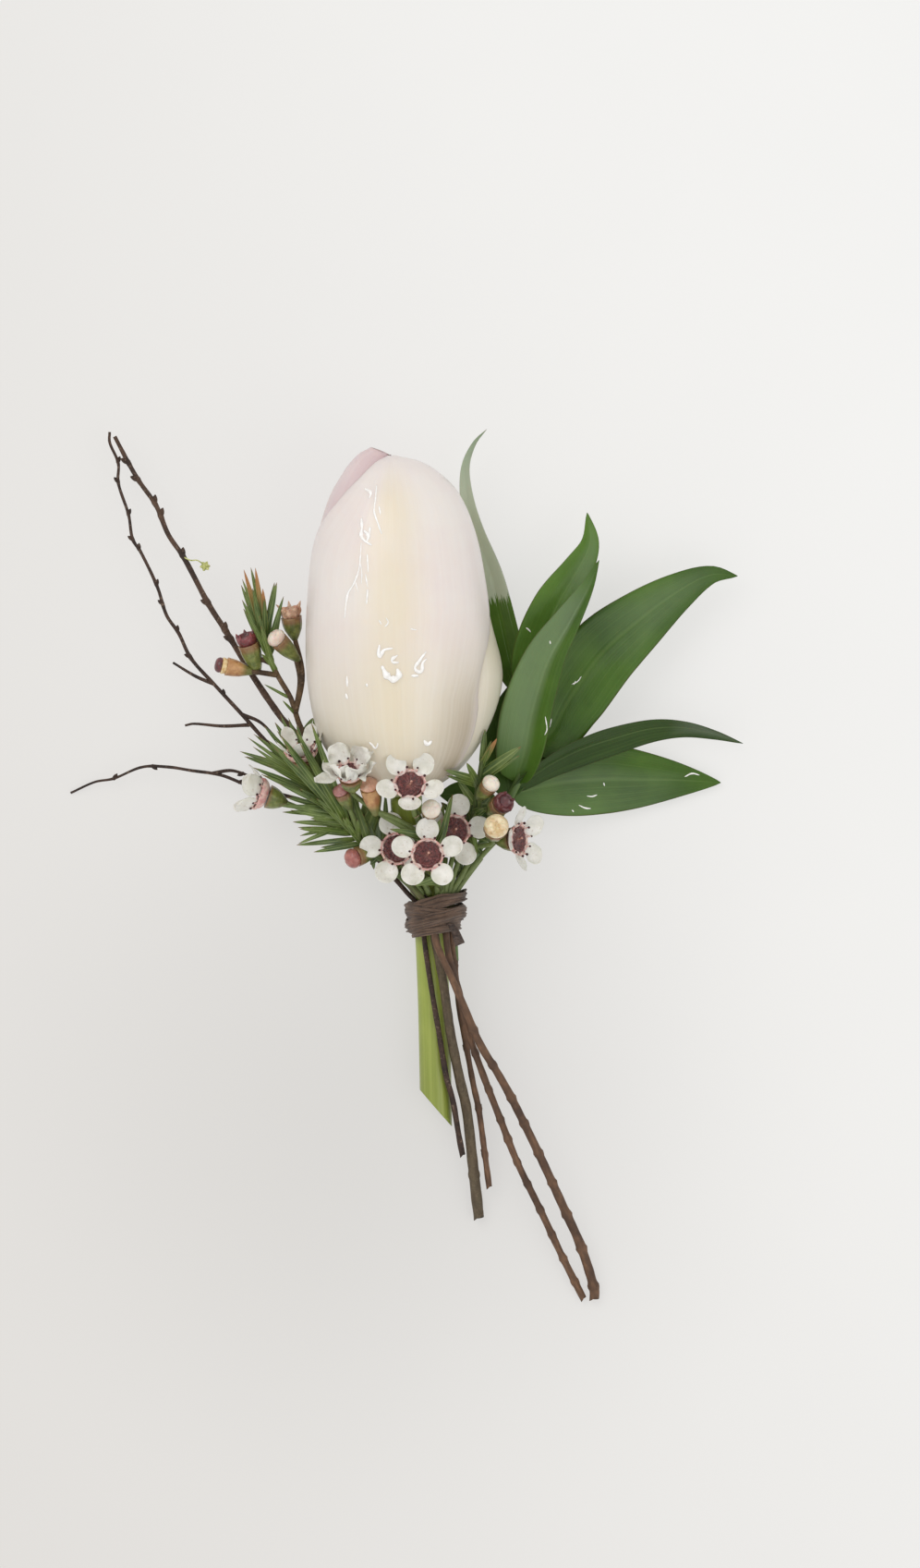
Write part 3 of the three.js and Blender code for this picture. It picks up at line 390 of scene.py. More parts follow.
def tepal_finish(name, blush, pale, edge_tint, edge_start):
    """Waxy tepal: cream at its foot and in a soft band up its middle, blushed elsewhere, painted shade low on
    one side.
    """
    tepal = Finish(name, Roughness=0.38, Subsurface_Weight=0.2, Subsurface_Radius=(1, 0.7, 0.5),
                   Subsurface_Scale=0.0025, Coat_Weight=0.3, Coat_Roughness=0.18)
    lines = tepal.lines(60, 2)
    clouds = tepal.clouds(0.014, pale, blush)
    off = tepal.off_middle()
    wander = tepal.clouds(0.02, WHITE, BLACK)
    band = tepal.math("MULTIPLY", tepal.between(off, 0.36, 0.0), tepal.between(tepal.v, 0.99, 0.8))
    band = tepal.math("MULTIPLY", band, tepal.between(wander.outputs["Value"], 0, 1, 0.6, 1))
    lower = tepal.mix(tepal.between(tepal.v, 0.62, 0.2), clouds.outputs["Color"], paint(227, 216, 197))
    banded = tepal.mix(tepal.math("MULTIPLY", band, 0.7), lower, paint(235, 219, 190))
    # painted shade: the lower half darkens towards one edge, where the bud lies in shade
    shaded = tepal.mix(
        tepal.math("MULTIPLY", tepal.between(tepal.u, 0.56, 0.96), tepal.between(tepal.v, 0.5, 0.2, 0, 0.95)),
        banded, paint(170, 155, 134))
    rimmed = tepal.mix(tepal.between(off, edge_start, 1, 0, 0.8), shaded, edge_tint)
    foot = tepal.mix(tepal.between(tepal.v, 0.1, 0, 0, 0.7), rimmed, paint(200, 198, 146))
    tepal.colour(tepal.mix(tepal.between(lines, 0.35, 0.7, 0, 0.1), foot, paint(250, 246, 240)))
    tepal.bump(lines, 0.00012, 0.5)
    return tepal.material


tepal_blush = tepal_finish("tepal_cream_blush", paint(237, 222, 218), paint(240, 230, 224),
                           paint(234, 218, 214), 0.85)
tepal_pink = tepal_finish("tepal_pink_outside", paint(218, 192, 194), paint(228, 206, 206),
                          paint(206, 172, 176), 0.4)
tepal_green = tepal_finish("tepal_cream_green", paint(226, 214, 186), paint(236, 226, 204),
                           paint(196, 180, 132), 0.9)
# painted highlight: the water is opaque and near white, for the light its streaks and drops reflect
water_painted_highlight = Finish("water_film_painted_highlight", Roughness=0.06, Coat_Weight=1, Coat_Roughness=0.03)
water_highlight_clouds = water_painted_highlight.clouds(0.0006, WHITE, paint(244, 242, 240))
water_painted_highlight.colour(water_highlight_clouds.outputs["Color"])
WATER_DROP = 0.7 * MM
# Streaks and drops of water as (x, y) in mm, each with its half width, painted near white as highlights
BUD_STREAKS = [
    (0.21, [(-5, 65.4), (-5.2, 62.8), (-5.4, 60.8), (-4.8, 58.9), (-4.1, 56.9)]),
    (0.24, [(-7.1, 64.8), (-6, 64), (-6.3, 63.1)]),
    (0.36, [(-7.6, 59.7), (-7.5, 58), (-7.6, 56.6), (-6.9, 55.7), (-5.8, 55)]),
    (0.2, [(-7.6, 55.5), (-8, 50.9), (-8.9, 48.4), (-9.9, 46.7), (-10.5, 42.5)]),
    (0.15, [(-6.6, 53.5), (-6.4, 50.4)]),
    (0.18, [(-6.5, 47.5), (-6.7, 44.9)]),
    (0.3, [(-4.5, 38), (-4.5, 35.9), (-3.8, 37), (-2.2, 37.4)]),
    (0.33, [(-1.4, 36.2), (-2.4, 35.2), (-1.2, 34.9)]),
    (0.6, [(-4.1, 34.4), (-3.2, 32.7), (-2.1, 32.1), (-1.2, 32.7), (-1.5, 33.9)]),
    (0.3, [(3.5, 36.8), (2.3, 35.2), (1.6, 33.9), (2.6, 33.4), (2.9, 34.9), (3.6, 35.6)]),
    (0.24, [(0.9, 32.7), (2.2, 32.7)]),
    (0.18, [(-10.1, 32.7), (-10, 30.8)]),
    (0.21, [(-10.3, 29.7), (-10, 28.7)]),
    (0.18, [(-6.7, 31.4), (-6.6, 30.8)]),
    (0.21, [(-6.3, 21.3), (-5.8, 20.9), (-5.2, 20.3), (-4.8, 21.2)]),
    (0.3, [(3.1, 21.7), (3.7, 21), (4.4, 21.6)]),
    (0.12, [(0.8, 40.7), (1.9, 40.5)]),
    (0.3, [(-7.2, 57.6), (-6.4, 56.6), (-6.8, 55.4)]),
    (0.18, [(-6.1, 58.2), (-6.2, 56.8)]),
    (0.13, [(-4.6, 61.8), (-4.3, 60.2)]),
    (0.13, [(-7.9, 52.4), (-7.5, 50.2), (-7.6, 48.4)]),
    (0.12, [(-6.9, 50.1), (-6.5, 47.8)]),
    (0.1, [(-8.6, 48.8), (-8.2, 47)]),
    (0.12, [(-3.4, 42.6), (-3, 41.8), (-3.6, 41)]),
    (0.1, [(-4.6, 42.2), (-4.1, 41.4)]),
]


def lay_water(bm, streaks, finish):
    """Each streak lies on whatever part of the piece is highest below it, and ends at its edge."""
    surface = BVHTree.FromBMesh(bm)
    for half, route in streaks:
        reach = sum((Vector(b) - Vector(a)).length for a, b in zip(route, route[1:]))
        steps = max(int(reach / 0.35), 4)
        path = []
        for spot in run_through([Vector((x, y, 0)) * MM for x, y in route], steps):
            hit = surface.ray_cast(Vector((spot.x, spot.y, 0.1)), -UP)[0]
            if hit is None or (path and abs(hit.z - path[-1].z) > WATER_DROP):
                break
            path.append(hit)
        if len(path) > 3:
            def radius_at(run, half=half, reach=reach, seed=route[0][0]):
                uneven = 0.75 + 0.7 * noise.noise(Vector((run * reach * 1.3, seed, 0.4)))
                return half * (0.25 + math.sin(math.pi * run) ** 0.6 * uneven)

            lay_stalk(bm, path, radius_at, 8, len(path) * 2, finish)


bud_mesh = fresh_mesh()
for n, shape in enumerate(TEPALS):
    blade = lay_tepal(bud_mesh, **shape)
    for face in {face for corner in blade for face in corner.link_faces}:
        face.material_index = {1: 2, 2: 1}.get(n, 0)
    thicken(bud_mesh, blade, -TEPAL_THICKNESS)
lay_water(bud_mesh, BUD_STREAKS, 3)
for corner in bud_mesh.verts:
    corner.co.z = max(corner.co.z, 0)
tulip_bud = finished("tulip_bud_tepals", bud_mesh, tepal_blush, tepal_pink, tepal_green, water_painted_highlight.material)
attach(tulip_bud, "root")
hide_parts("tulip_bud")


# Tulip stem. A smooth, juicy stem that fills the middle of the bunch, cut on a slant with a knife
# so that its pale pith shows.
STEM_RADIUS = 2.75
STEM_CUT = Vector((4.7, -41.6, 4.2)) * MM
STEM_CUT_TURN = math.radians(-49)
STEM_ROUTE = [
    (5.2, -50, 3.7), (5, -36, 4.5), (4.6, -20, 5.5), (3.9, -8, 6.5), (2.6, 0, 8.6), (1.2, 7, 11),
    (0.1, 9.8, 12.6), (0, 12.1, 12.9),
]

stem_green = Finish("tulip_stem_green", Roughness=0.38, Subsurface_Weight=0.12, Subsurface_Scale=0.002,
                    Subsurface_Radius=(0.6, 1, 0.3), Coat_Weight=0.2, Coat_Roughness=0.25)
stem_lines = stem_green.lines(26, 2)
stem_clouds = stem_green.clouds(0.012, paint(156, 168, 74), paint(130, 146, 52))
stem_height = stem_green.add("ShaderNodeSeparateXYZ", {0: stem_green.object}).outputs["Y"]
stem_lower = stem_green.mix(
    stem_green.between(stem_height, -0.018, -0.04, 0, 0.7), stem_clouds.outputs["Color"], paint(120, 132, 52))
stem_green.colour(stem_green.mix(
    stem_green.between(stem_lines, 0.4, 0.7, 0, 0.35), stem_lower, paint(172, 182, 96)))
stem_green.bump(stem_lines, 0.00012, 0.5)
pith = Finish("cut_pith", Roughness=0.6, Subsurface_Weight=0.15, Subsurface_Scale=0.001)
pith_clouds = pith.clouds(0.0007, paint(226, 230, 190), paint(192, 204, 138))
pith.colour(pith_clouds.outputs["Color"])
pith.bump(pith_clouds.outputs["Value"], 0.0001, 0.5)

stem_mesh = fresh_mesh()
lay_stalk(stem_mesh, spots(STEM_ROUTE), lambda run: STEM_RADIUS, 28, 60)
cut_facing = Vector((math.sin(STEM_CUT_TURN), -math.cos(STEM_CUT_TURN), 0))
cut = bmesh.ops.bisect_plane(
    stem_mesh, geom=list(stem_mesh.verts) + list(stem_mesh.edges) + list(stem_mesh.faces),
    plane_co=STEM_CUT, plane_no=cut_facing, clear_outer=True)
cut_edges = [edge for edge in cut["geom_cut"] if isinstance(edge, bmesh.types.BMEdge)]
for face in bmesh.ops.holes_fill(stem_mesh, edges=cut_edges, sides=0)["faces"]:
    face.material_index = 1
    face.smooth = False
tulip_stem = finished("tulip_stem_cut", stem_mesh, stem_green.material, pith.material)
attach(tulip_stem, "root")
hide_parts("tulip_stem")


# Ruscus. One wiry green stem with eight glossy, leathery leaves, each on a short flat stalk. Fine
# veins run the length of every leaf, and its edge dries to a thin brown line.
RUSCUS_ROUTE = [
    (8.3, -16.5, 4.4), (8.1, -13, 5), (7.4, -8, 5.9), (9, -3, 6.3), (12.5, 3, 7.2), (16, 8.5, 8),
    (19, 14, 8.8), (21, 20, 9.4), (21, 26, 9.6), (20, 31, 9.4),
]
LEAF_THICKNESS = 0.45 * MM
LEAF_ROWS = 48
# midrib runs from stalk to tip; left and right are half widths in mm; lean is in degrees; fold and
# wave lift the sides; a lower taper brings the widest place nearer to the stalk; stub is the half
# width of stalk and tip; painted_shade is how much darker the leaf is painted for the shade it lies
# in; wet_sheen is where a painted sheen, the pale reflection of a wet film, lies: a middle and half
# length along, a middle and half width across, and its strength
RUSCUS_LEAVES = [
    {"midrib": [(20, 31, 9.4), (18.6, 34, 8), (17.2, 39.5, 6.6), (14.8, 49.9, 6.2), (12, 57.9, 6.8),
                (10.6, 63.5, 7.6), (10.3, 69, 8.6), (11.8, 73.1, 9.6), (13.9, 75.5, 10.4)],
     "left": 3, "right": 3.2, "lean": -38, "fold": 0.15, "taper": 0.39, "stub": 0.3, "wave": 0.2,
     "painted_shade": 0, "wet_sheen": (0.76, 0.45, 0, 3, 0.95)},
    {"midrib": [(19, 14.5, 9), (20.4, 20, 11.4), (21.8, 27, 13.2), (24.6, 35.7, 14.2), (28.1, 42, 14.2),
                (31.4, 48, 13.6), (33.3, 52.8, 12.8)],
     "left": 4.5, "right": 3.2, "lean": -12, "fold": 0.35, "taper": 0.52, "stub": 0.6, "wave": 0.3,
     "painted_shade": 0.05, "wet_sheen": (0.5, 0.5, -0.4, 0.8, 0.17)},
    {"midrib": [(20.6, 29, 9.5), (22.4, 36, 9.8), (26, 45, 10.3), (29.8, 51.5, 10.3), (31.8, 56, 10),
                (31.3, 61.1, 9.4)],
     "left": 3.8, "right": 3.8, "lean": 0, "fold": 0.15, "taper": 0.62, "stub": 0.6, "wave": 0.3,
     "painted_shade": 0.05, "wet_sheen": (0.8, 0.3, 0.3, 0.8, 0.1)},
    {"midrib": [(21, 20.5, 9.4), (24.6, 22.5, 9.3), (28, 28.5, 9), (33.6, 36.5, 8.6), (40.4, 42.6, 8.2),
                (47.2, 47.6, 7.6), (52.8, 50.4, 7), (57.4, 50.2, 6.2)],
     "left": 5.8, "right": 5.8, "lean": 4, "fold": 0.12, "taper": 0.65, "stub": 0.6, "wave": 0.5,
     "painted_shade": 0.08, "wet_sheen": (0.74, 0.3, 0, 1, 0.09)},
    {"midrib": [(18.4, 13, 8.7), (24, 16.8, 9.4), (29.6, 19.6, 9.4), (36, 22, 8.8), (42.4, 23.6, 7.8),
                (48, 23.8, 6.4), (53.6, 22.7, 4.8), (58.4, 21.2, 3.4)],
     "left": 2.7, "right": 3, "lean": 48, "fold": 0.1, "taper": 0.75, "stub": 0.6, "wave": 0.3,
     "painted_shade": 0.75, "wet_sheen": (0.88, 0.2, -0.2, 1, 0.25)},
    {"midrib": [(18.2, 12.4, 8.6), (25.6, 14.2, 5.6), (32.8, 14.9, 3.4), (40, 14.9, 2.3), (47.2, 14.8, 1.7),
                (54.6, 14.4, 1.2)],
     "left": 5.9, "right": 5.5, "lean": 9, "fold": 0.1, "taper": 0.7, "stub": 0.6, "wave": 0.3,
     "painted_shade": 0.12, "wet_sheen": (0.4, 0.5, 0.4, 0.9, 0.07)},
    {"midrib": [(17.8, 11.8, 8.4), (17.6, 18, 7.2), (18.6, 26, 6.6), (20.4, 34, 6)],
     "left": 4.4, "right": 4.6, "lean": 0, "fold": 0.1, "taper": 0.75, "stub": 0.6, "wave": 0.3,
     "painted_shade": 0.4, "wet_sheen": (0.5, 0.5, 0, 1, 0)},
    {"midrib": [(16.2, 8.8, 8.2), (12.6, 10.6, 9.2), (9, 12.2, 9.6), (5.6, 12.4, 9.4)],
     "left": 2.7, "right": 2.8, "lean": 0, "fold": 0.1, "taper": 0.9, "stub": 0.5, "wave": 0.2,
     "painted_shade": 0.45, "wet_sheen": (0.5, 0.5, 0, 1, 0)},
]


def lay_leaf(bm, midrib, left, right, lean, fold, taper, stub, wave, painted_shade, wet_sheen):
    path = run_through(spots(midrib), LEAF_ROWS)
    seed = Vector((midrib[-1][0], 0.5, 2.3))
    wet_sheen_layer = bm.verts.layers.float["wet_sheen_painted"]
    sheen_strength_layer = bm.verts.layers.float["painted_sheen_strength"]
    painted_shade_layer = bm.verts.layers.float["painted_shade"]
    mid_along, half_along, mid_across, half_across, strength = wet_sheen

    def place(across, along):
        row = round(along * LEAF_ROWS)
        tangent = (path[min(row + 1, LEAF_ROWS)] - path[max(row - 1, 0)]).normalized()
        sideways = Quaternion(tangent, math.radians(lean)) @ tangent.cross(UP).normalized()
        normal = sideways.cross(tangent)
        body = max(math.sin(math.pi * along ** taper), 0) ** 0.85
        half = (left if across < 0 else right) * body + stub * min(1, 1.9 - 1.8 * along)
        lift = fold * abs(across) * half + 0.25 * (abs(across) ** 0.5 - 1) * body
        lift += wave * body * noise.noise(Vector((across * 1.3, along * 5, 0)) + seed)
        spot = path[row] + sideways * across * half * MM + normal * lift * MM
        spot.z = max(spot.z, LEAF_THICKNESS)
        return spot

    def mark(corner, across, along):
        inside = 1 - max(abs(along - mid_along) / half_along, abs(across - mid_across) / half_across)
        corner[wet_sheen_layer] = min(max(inside * 5 * half_along, 0), 1)
        corner[sheen_strength_layer] = strength * (1 - max(along - 0.75, 0) * 2.4)
        corner[painted_shade_layer] = painted_shade

    return skin(bm, 16, LEAF_ROWS, place, 0, mark)


leaf = Finish("ruscus_leaf_glossy", Roughness=0.36, Specular_IOR_Level=0.22, Coat_Weight=0.07,
              Coat_Roughness=0.16,
              Subsurface_Weight=0.05, Subsurface_Scale=0.001)
leaf_veins = leaf.lines(44, 1.2)
leaf_clouds = leaf.clouds(0.02, paint(84, 120, 40), paint(52, 84, 20))
# painted shade: leaves that lie in shade are mixed towards a dark green
leaf_painted_shade = leaf.attribute("painted_shade")
leaf_shaded_by_paint = leaf.mix(leaf_painted_shade, leaf_clouds.outputs["Color"], paint(26, 46, 12))
leaf_edge = leaf.off_middle()
leaf_veined = leaf.mix(
    leaf.between(leaf_veins, 0.42, 0.68, 0, 0.16), leaf_shaded_by_paint, paint(100, 132, 60))
leaf_ribbed = leaf.mix(leaf.between(leaf_edge, 0.07, 0.01, 0, 0.22), leaf_veined, paint(118, 144, 82))
# painted sheen: where a wet film lies, its pale reflection is painted into the leaf's colour
leaf_wet_sheen = leaf.attribute("wet_sheen_painted")
leaf_sheen_strength = leaf.attribute("painted_sheen_strength")
leaf_torn_sheen = leaf.math("ADD", leaf_wet_sheen, leaf.math("MULTIPLY", leaf.math("SUBTRACT", leaf_veins, 0.5), 0.7))
leaf_sharp_sheen = leaf.mix(leaf.between(leaf_sheen_strength, 0.5, 0.65), leaf_wet_sheen, leaf.between(leaf_torn_sheen, 0.12, 0.17))
leaf_sheen = leaf.mix(leaf.math("MULTIPLY", leaf_sharp_sheen, leaf_sheen_strength), leaf_ribbed, paint(184, 196, 178))
leaf.colour(leaf.mix(leaf.between(leaf_edge, 0.96, 0.99, 0, 0.6), leaf_sheen, paint(84, 78, 44)))
leaf.roughness(leaf.between(leaf_clouds.outputs["Value"], 0, 1, 0.32, 0.42))
leaf.bump(leaf_veins, 0.00014, 0.5)
leaf_stalk = Finish("ruscus_stem_green", Roughness=0.5)
leaf_stalk_lines = leaf_stalk.lines(9, 6)
leaf_stalk.colour(leaf_stalk.mix(leaf_stalk_lines, paint(58, 84, 36), paint(104, 130, 66)))
leaf_stalk.bump(leaf_stalk_lines, 0.00015, 0.6)

# Drops of water on the leaves, painted near white like the bud's streaks, as highlights
LEAF_DROPS = [
    (0.14, [(20.7, 41.2), (21.3, 40.7), (21.5, 40.4)]),
    (0.12, [(28.6, 31.4), (29.6, 31.9), (30.3, 32.8)]),
    (0.1, [(29.3, 32), (29, 31.3)]),
    (0.12, [(24, 25.8), (24.3, 23.6), (23.9, 22.6)]),
    (0.12, [(25.1, 25.5), (24.8, 23.9)]),
    (0.14, [(31.3, 12.1), (32.2, 12), (33.1, 12.3)]),
    (0.16, [(29.9, 10.5), (31, 10), (32, 9.9)]),
    (0.12, [(28.7, 9.7), (29, 9.3)]),
    (0.12, [(34.2, 14.4), (34.4, 13.8)]),
    (0.14, [(48.3, 15.4), (49.6, 16), (50.9, 15.7)]),
    (0.1, [(24.8, 38.9), (24.9, 38.3)]),
]

ruscus_mesh = fresh_mesh()
ruscus_mesh.verts.layers.float.new("wet_sheen_painted")
ruscus_mesh.verts.layers.float.new("painted_sheen_strength")
ruscus_mesh.verts.layers.float.new("painted_shade")
for shape in RUSCUS_LEAVES:
    thicken(ruscus_mesh, lay_leaf(ruscus_mesh, **shape), LEAF_THICKNESS)
lay_water(ruscus_mesh, LEAF_DROPS, 2)
lay_stalk(ruscus_mesh, spots(RUSCUS_ROUTE), narrowing(0.75, 0.7), 12, 44, 1)
ruscus = finished("ruscus_sprig_leaves", ruscus_mesh, leaf.material, leaf_stalk.material, water_painted_highlight.material)
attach(ruscus, "root")
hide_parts("ruscus_sprig")


# Bare twigs. A thicker grey-brown one and a thin dark one, both cut in winter bark with small
# pointed buds at their nodes and a few side shoots.
TWIGS = {
    "twig_thick": {
        "main": [(-50.6, 74.4, 5.5), (-48.2, 69.8, 5.6), (-46.4, 66.7, 5.7), (-43.4, 62.4, 5.8),
                 (-41.3, 57.4, 5.9), (-38.6, 53.4, 6), (-34.3, 45.3, 6.1), (-30.9, 40, 6.2), (-26.7, 33, 6.6),
                 (-21.8, 25.8, 7.4), (-20, 23.8, 7.7), (-12.8, 13.5, 8.7), (-5.5, 4.5, 10.1),
                 (-2.3, 0.5, 10.8),
                 (0.9, -3.5, 11.1), (4.8, -8, 10.5), (4.9, -12, 10.2), (6.3, -19.7, 9.4), (7.7, -29.3, 8.1),
                 (9.3, -37.3, 6.4), (10.4, -42.1, 5.3), (11.5, -51.7, 3.4), (12.6, -61.6, 1.5)],
        "radii": (0.36, 0.95),
        "shoots": [],
        "buds": [(-48.2, 69.8, -1), (-46.6, 66.9, -1), (-43.6, 62.9, 1), (-42.7, 60.6, 1), (-38.7, 53.9, 1),
                 (-34.6, 45.6, -1), (-31.4, 40.8, 1), (-30.6, 39.2, -1), (12, -53.6, 1)],
        "bud_size": 0.85,
    },
    "twig_thin": {
        "main": [(-51.5, 75.2, 4.6), (-51.5, 73.4, 4.7), (-50, 69.8, 4.9), (-50, 66.4, 5), (-48.2, 60.8, 5.1),
                 (-47.5, 56.6, 5.2), (-46.1, 54.4, 5.3), (-43.2, 48.3, 5.4), (-41.6, 43.4, 5.6),
                 (-39.5, 40.3, 5.8), (-37.4, 36, 6), (-33.4, 31.5, 6.3), (-28.5, 26.2, 6.8),
                 (-24.2, 21.4, 7.2),
                 (-19.7, 16.8, 7.5), (-12, 9, 8.2), (-4.4, 0.5, 8.8), (0, -4.5, 9.2), (2.9, -8, 9.9),
                 (3, -11.7, 9.9), (4.1, -19.7, 9.2), (5.7, -29.3, 8.5), (6.9, -36.5, 7.7), (8, -40.5, 6.8),
                 (9.1, -46.9, 5.6), (9.8, -50.6, 4.9)],
        "radii": (0.24, 0.52),
        "shoots": [
            [(-12, 9, 8.2), (-17, 11, 6.4), (-22, 12.4, 5), (-27.5, 13.9, 4.2), (-32.2, 15.7, 4),
             (-37.4, 16.5, 3.7), (-41.3, 17.1, 3.3), (-45.9, 17.1, 2.7), (-50.9, 15.1, 1.9),
             (-54.2, 14.5, 1.2),
             (-58.4, 12.6, 0.32)],
            [(-33.6, 16, 4), (-30.6, 16.5, 4.5), (-28.2, 15.9, 4.8), (-26.6, 15.2, 5.2)],
            [(-27.2, 24.4, 7), (-31.9, 24.2, 6.4), (-36.9, 24.6, 5.8), (-38.4, 24.3, 5.7)],
            [(-33.4, 31.5, 6.3), (-36.5, 32.8, 5.8), (-40.5, 35.2, 5.4)],
            [(-28.5, 26.2, 6.8), (-25.4, 24.9, 7.4), (-22.8, 22.4, 7.4)],
        ],
        "buds": [(-50, 70, 1), (-50, 66.5, -1), (-48.2, 61, 1), (-47.5, 56.4, -1), (-46.1, 55, 1),
                 (-43.2, 49, 1), (-42.5, 45.2, -1), (-39.2, 41, 1), (-37.6, 36.2, -1), (-31.1, 29.9, 1),
                 (-28.6, 15.6, -1), (-27, 14, -1), (-44, 17.2, 1), (-50.9, 15.3, -1)],
        "bud_size": 0.62,
    },
}
SHOOT_RADII = (0.36, 0.2)


def twig_bud(bm, path, x, y, side, size):
    """A small pointed bud that leans towards the twig's tip, on the swollen node it grew from."""
    target = Vector((x, y, 0)) * MM
    i = min(range(1, len(path) - 1), key=lambda n: (path[n].xy - target.xy).length)
    towards_tip = (path[i - 1] - path[i + 1]).normalized()
    outward = towards_tip.cross(UP).normalized() * side
    lean = (towards_tip + outward * 0.8).normalized() * size * MM
    seat = path[i]
    lay_stalk(bm, [seat - lean * 0.5, seat + lean * 0.35, seat + lean, seat + lean * 1.7],
              lambda run: 0.62 * size * math.sin(math.pi * (0.16 + 0.84 * run)) ** 0.8, 8, 8)


def lay_branch(bm, route, low, high, knots, finish, cut, slant):
    """A woody branch with a narrow ring at each knot, a little uneven all along."""
    length = sum((Vector(b) - Vector(a)).length for a, b in zip(route, route[1:]))
    steps = int(length / 0.5) + 4
    path = run_through(spots(route), steps)
    swell = [0.0] * (steps + 1)
    for knot in knots:
        for i, centre in enumerate(path):
            gap = (centre.xy - Vector(knot[:2]) * MM).length / MM
            swell[i] = max(swell[i], 0.3 * math.exp(-((gap / 0.45) ** 2)))

    def radius_at(run):
        i = round(run * steps)
        uneven = 0.1 * noise.noise(Vector((run * steps * 0.25, low * 9, 1.7)))
        return (low + (high - low) * run) * (1 + swell[i] + uneven)

    lay_stalk(bm, spots(route), radius_at, 12, steps, finish, cut, slant)
    return path


def lay_twig(bm, main, radii, shoots, buds, bud_size):
    for n, route in enumerate([main, *shoots]):
        low, high = radii if n == 0 else SHOOT_RADII
        path = lay_branch(bm, route[::-1], high, low, buds, 0, 1, 0.9 if n == 0 else 0)[::-1]
        for x, y, side in buds:
            nearest = min((centre.xy - Vector((x, y)) * MM).length for centre in path)
            if nearest < 1.2 * MM:
                twig_bud(bm, path, x, y, side, bud_size)


def bark_finish(name, light, dark, below=None):
    """Weathered bark, cloudy between two colours; below is its colour under the binding."""
    bark = Finish(name, Roughness=0.72)
    grain = bark.lines(7, 60)
    clouds = bark.clouds(0.0026, light, dark)
    flecks = bark.clouds(0.0006, paint(150, 130, 112), dark)
    speckled = bark.mix(
        bark.between(flecks.outputs["Value"], 0.75, 1, 0, 0.45), clouds.outputs["Color"],
        paint(142, 120, 102))
    if below:
        height = bark.add("ShaderNodeSeparateXYZ", {0: bark.object}).outputs["Y"]
        speckled = bark.mix(bark.between(height, -0.006, -0.016, 0, 0.65), speckled, below)
    bark.colour(bark.mix(bark.between(grain, 0.35, 0.6, 0.4, 0), speckled, dark))
    bark.bump(bark.math("ADD", grain, flecks.outputs["Value"]), 0.00016, 0.8)
    return bark.material


TWIG_FINISHES = {
    "twig_thick": (bark_finish("bark_grey_brown", paint(94, 70, 54), paint(50, 35, 27), paint(104, 94, 72)),
                   "bark_brown"),
    "twig_thin": (bark_finish("bark_dark", paint(80, 58, 46), paint(38, 25, 20)), "bark_dark"),
}
cut_wood = Finish("cut_wood_pale", Roughness=0.7)
cut_wood_clouds = cut_wood.clouds(0.0005, paint(196, 182, 150), paint(140, 118, 92))
cut_wood.colour(cut_wood_clouds.outputs["Color"])
floret = Finish("dried_floret_yellow", Roughness=0.6)
floret_clouds = floret.clouds(0.0005, paint(206, 208, 140), paint(140, 146, 74))
floret.colour(floret_clouds.outputs["Color"])


def lay_floret(bm, route, finish):
    """A dried floret of a few scales at the end of its hair-thin stalk."""
    lay_stalk(bm, spots(route), narrowing(0.13, 0.1), 6, 14, finish)
    end = Vector(route[-1]) * MM
    for n in range(6):
        lean = Vector((math.cos(1.1 * n), math.sin(1.1 * n), 0.3 + 0.1 * n)) * 0.75 * MM
        lay_stalk(bm, [end - lean * 0.2, end + lean * 0.6, end + lean * 1.2],
                  lambda run: 0.36 * math.sin(math.pi * (0.1 + 0.88 * run)) ** 0.7, 8, 6, finish)


for twig_name, twig_shape in TWIGS.items():
    twig_mesh = fresh_mesh()
    lay_twig(twig_mesh, **twig_shape)
    if twig_name == "twig_thick":
        lay_floret(twig_mesh, [(-38.8, 53.6, 6.2), (-37.4, 52.9, 6.9), (-36.2, 52.9, 7.1),
                               (-34.9, 51.9, 6.9)], 2)
    twig_finish, twig_slot = TWIG_FINISHES[twig_name]
    twig = finished(f"{twig_name}_bark", twig_mesh, twig_finish, cut_wood.material, floret.material)
    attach(twig, "root")
    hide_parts(twig_name)


# Waxflower blooms. Five round, waxy white petals on the pink rim of a small flower tube, ten short
# stamens with dark heads inside them, and a glossy maroon cup of nectar with a pale style.
PETAL_REACH = 4.35
PETAL_LONG = 2.15
PETAL_WIDE = 2.05
PETAL_THICKNESS = 0.32 * MM
TUBE_PROFILE = [(0, -1), (1.9, -1), (2.5, -0.4), (2.9, 0.3), (2.8, 0.55), (2.5, 0.5), (2.35, 0.1),
                (2.3, -0.4),
                (0, -0.45)]
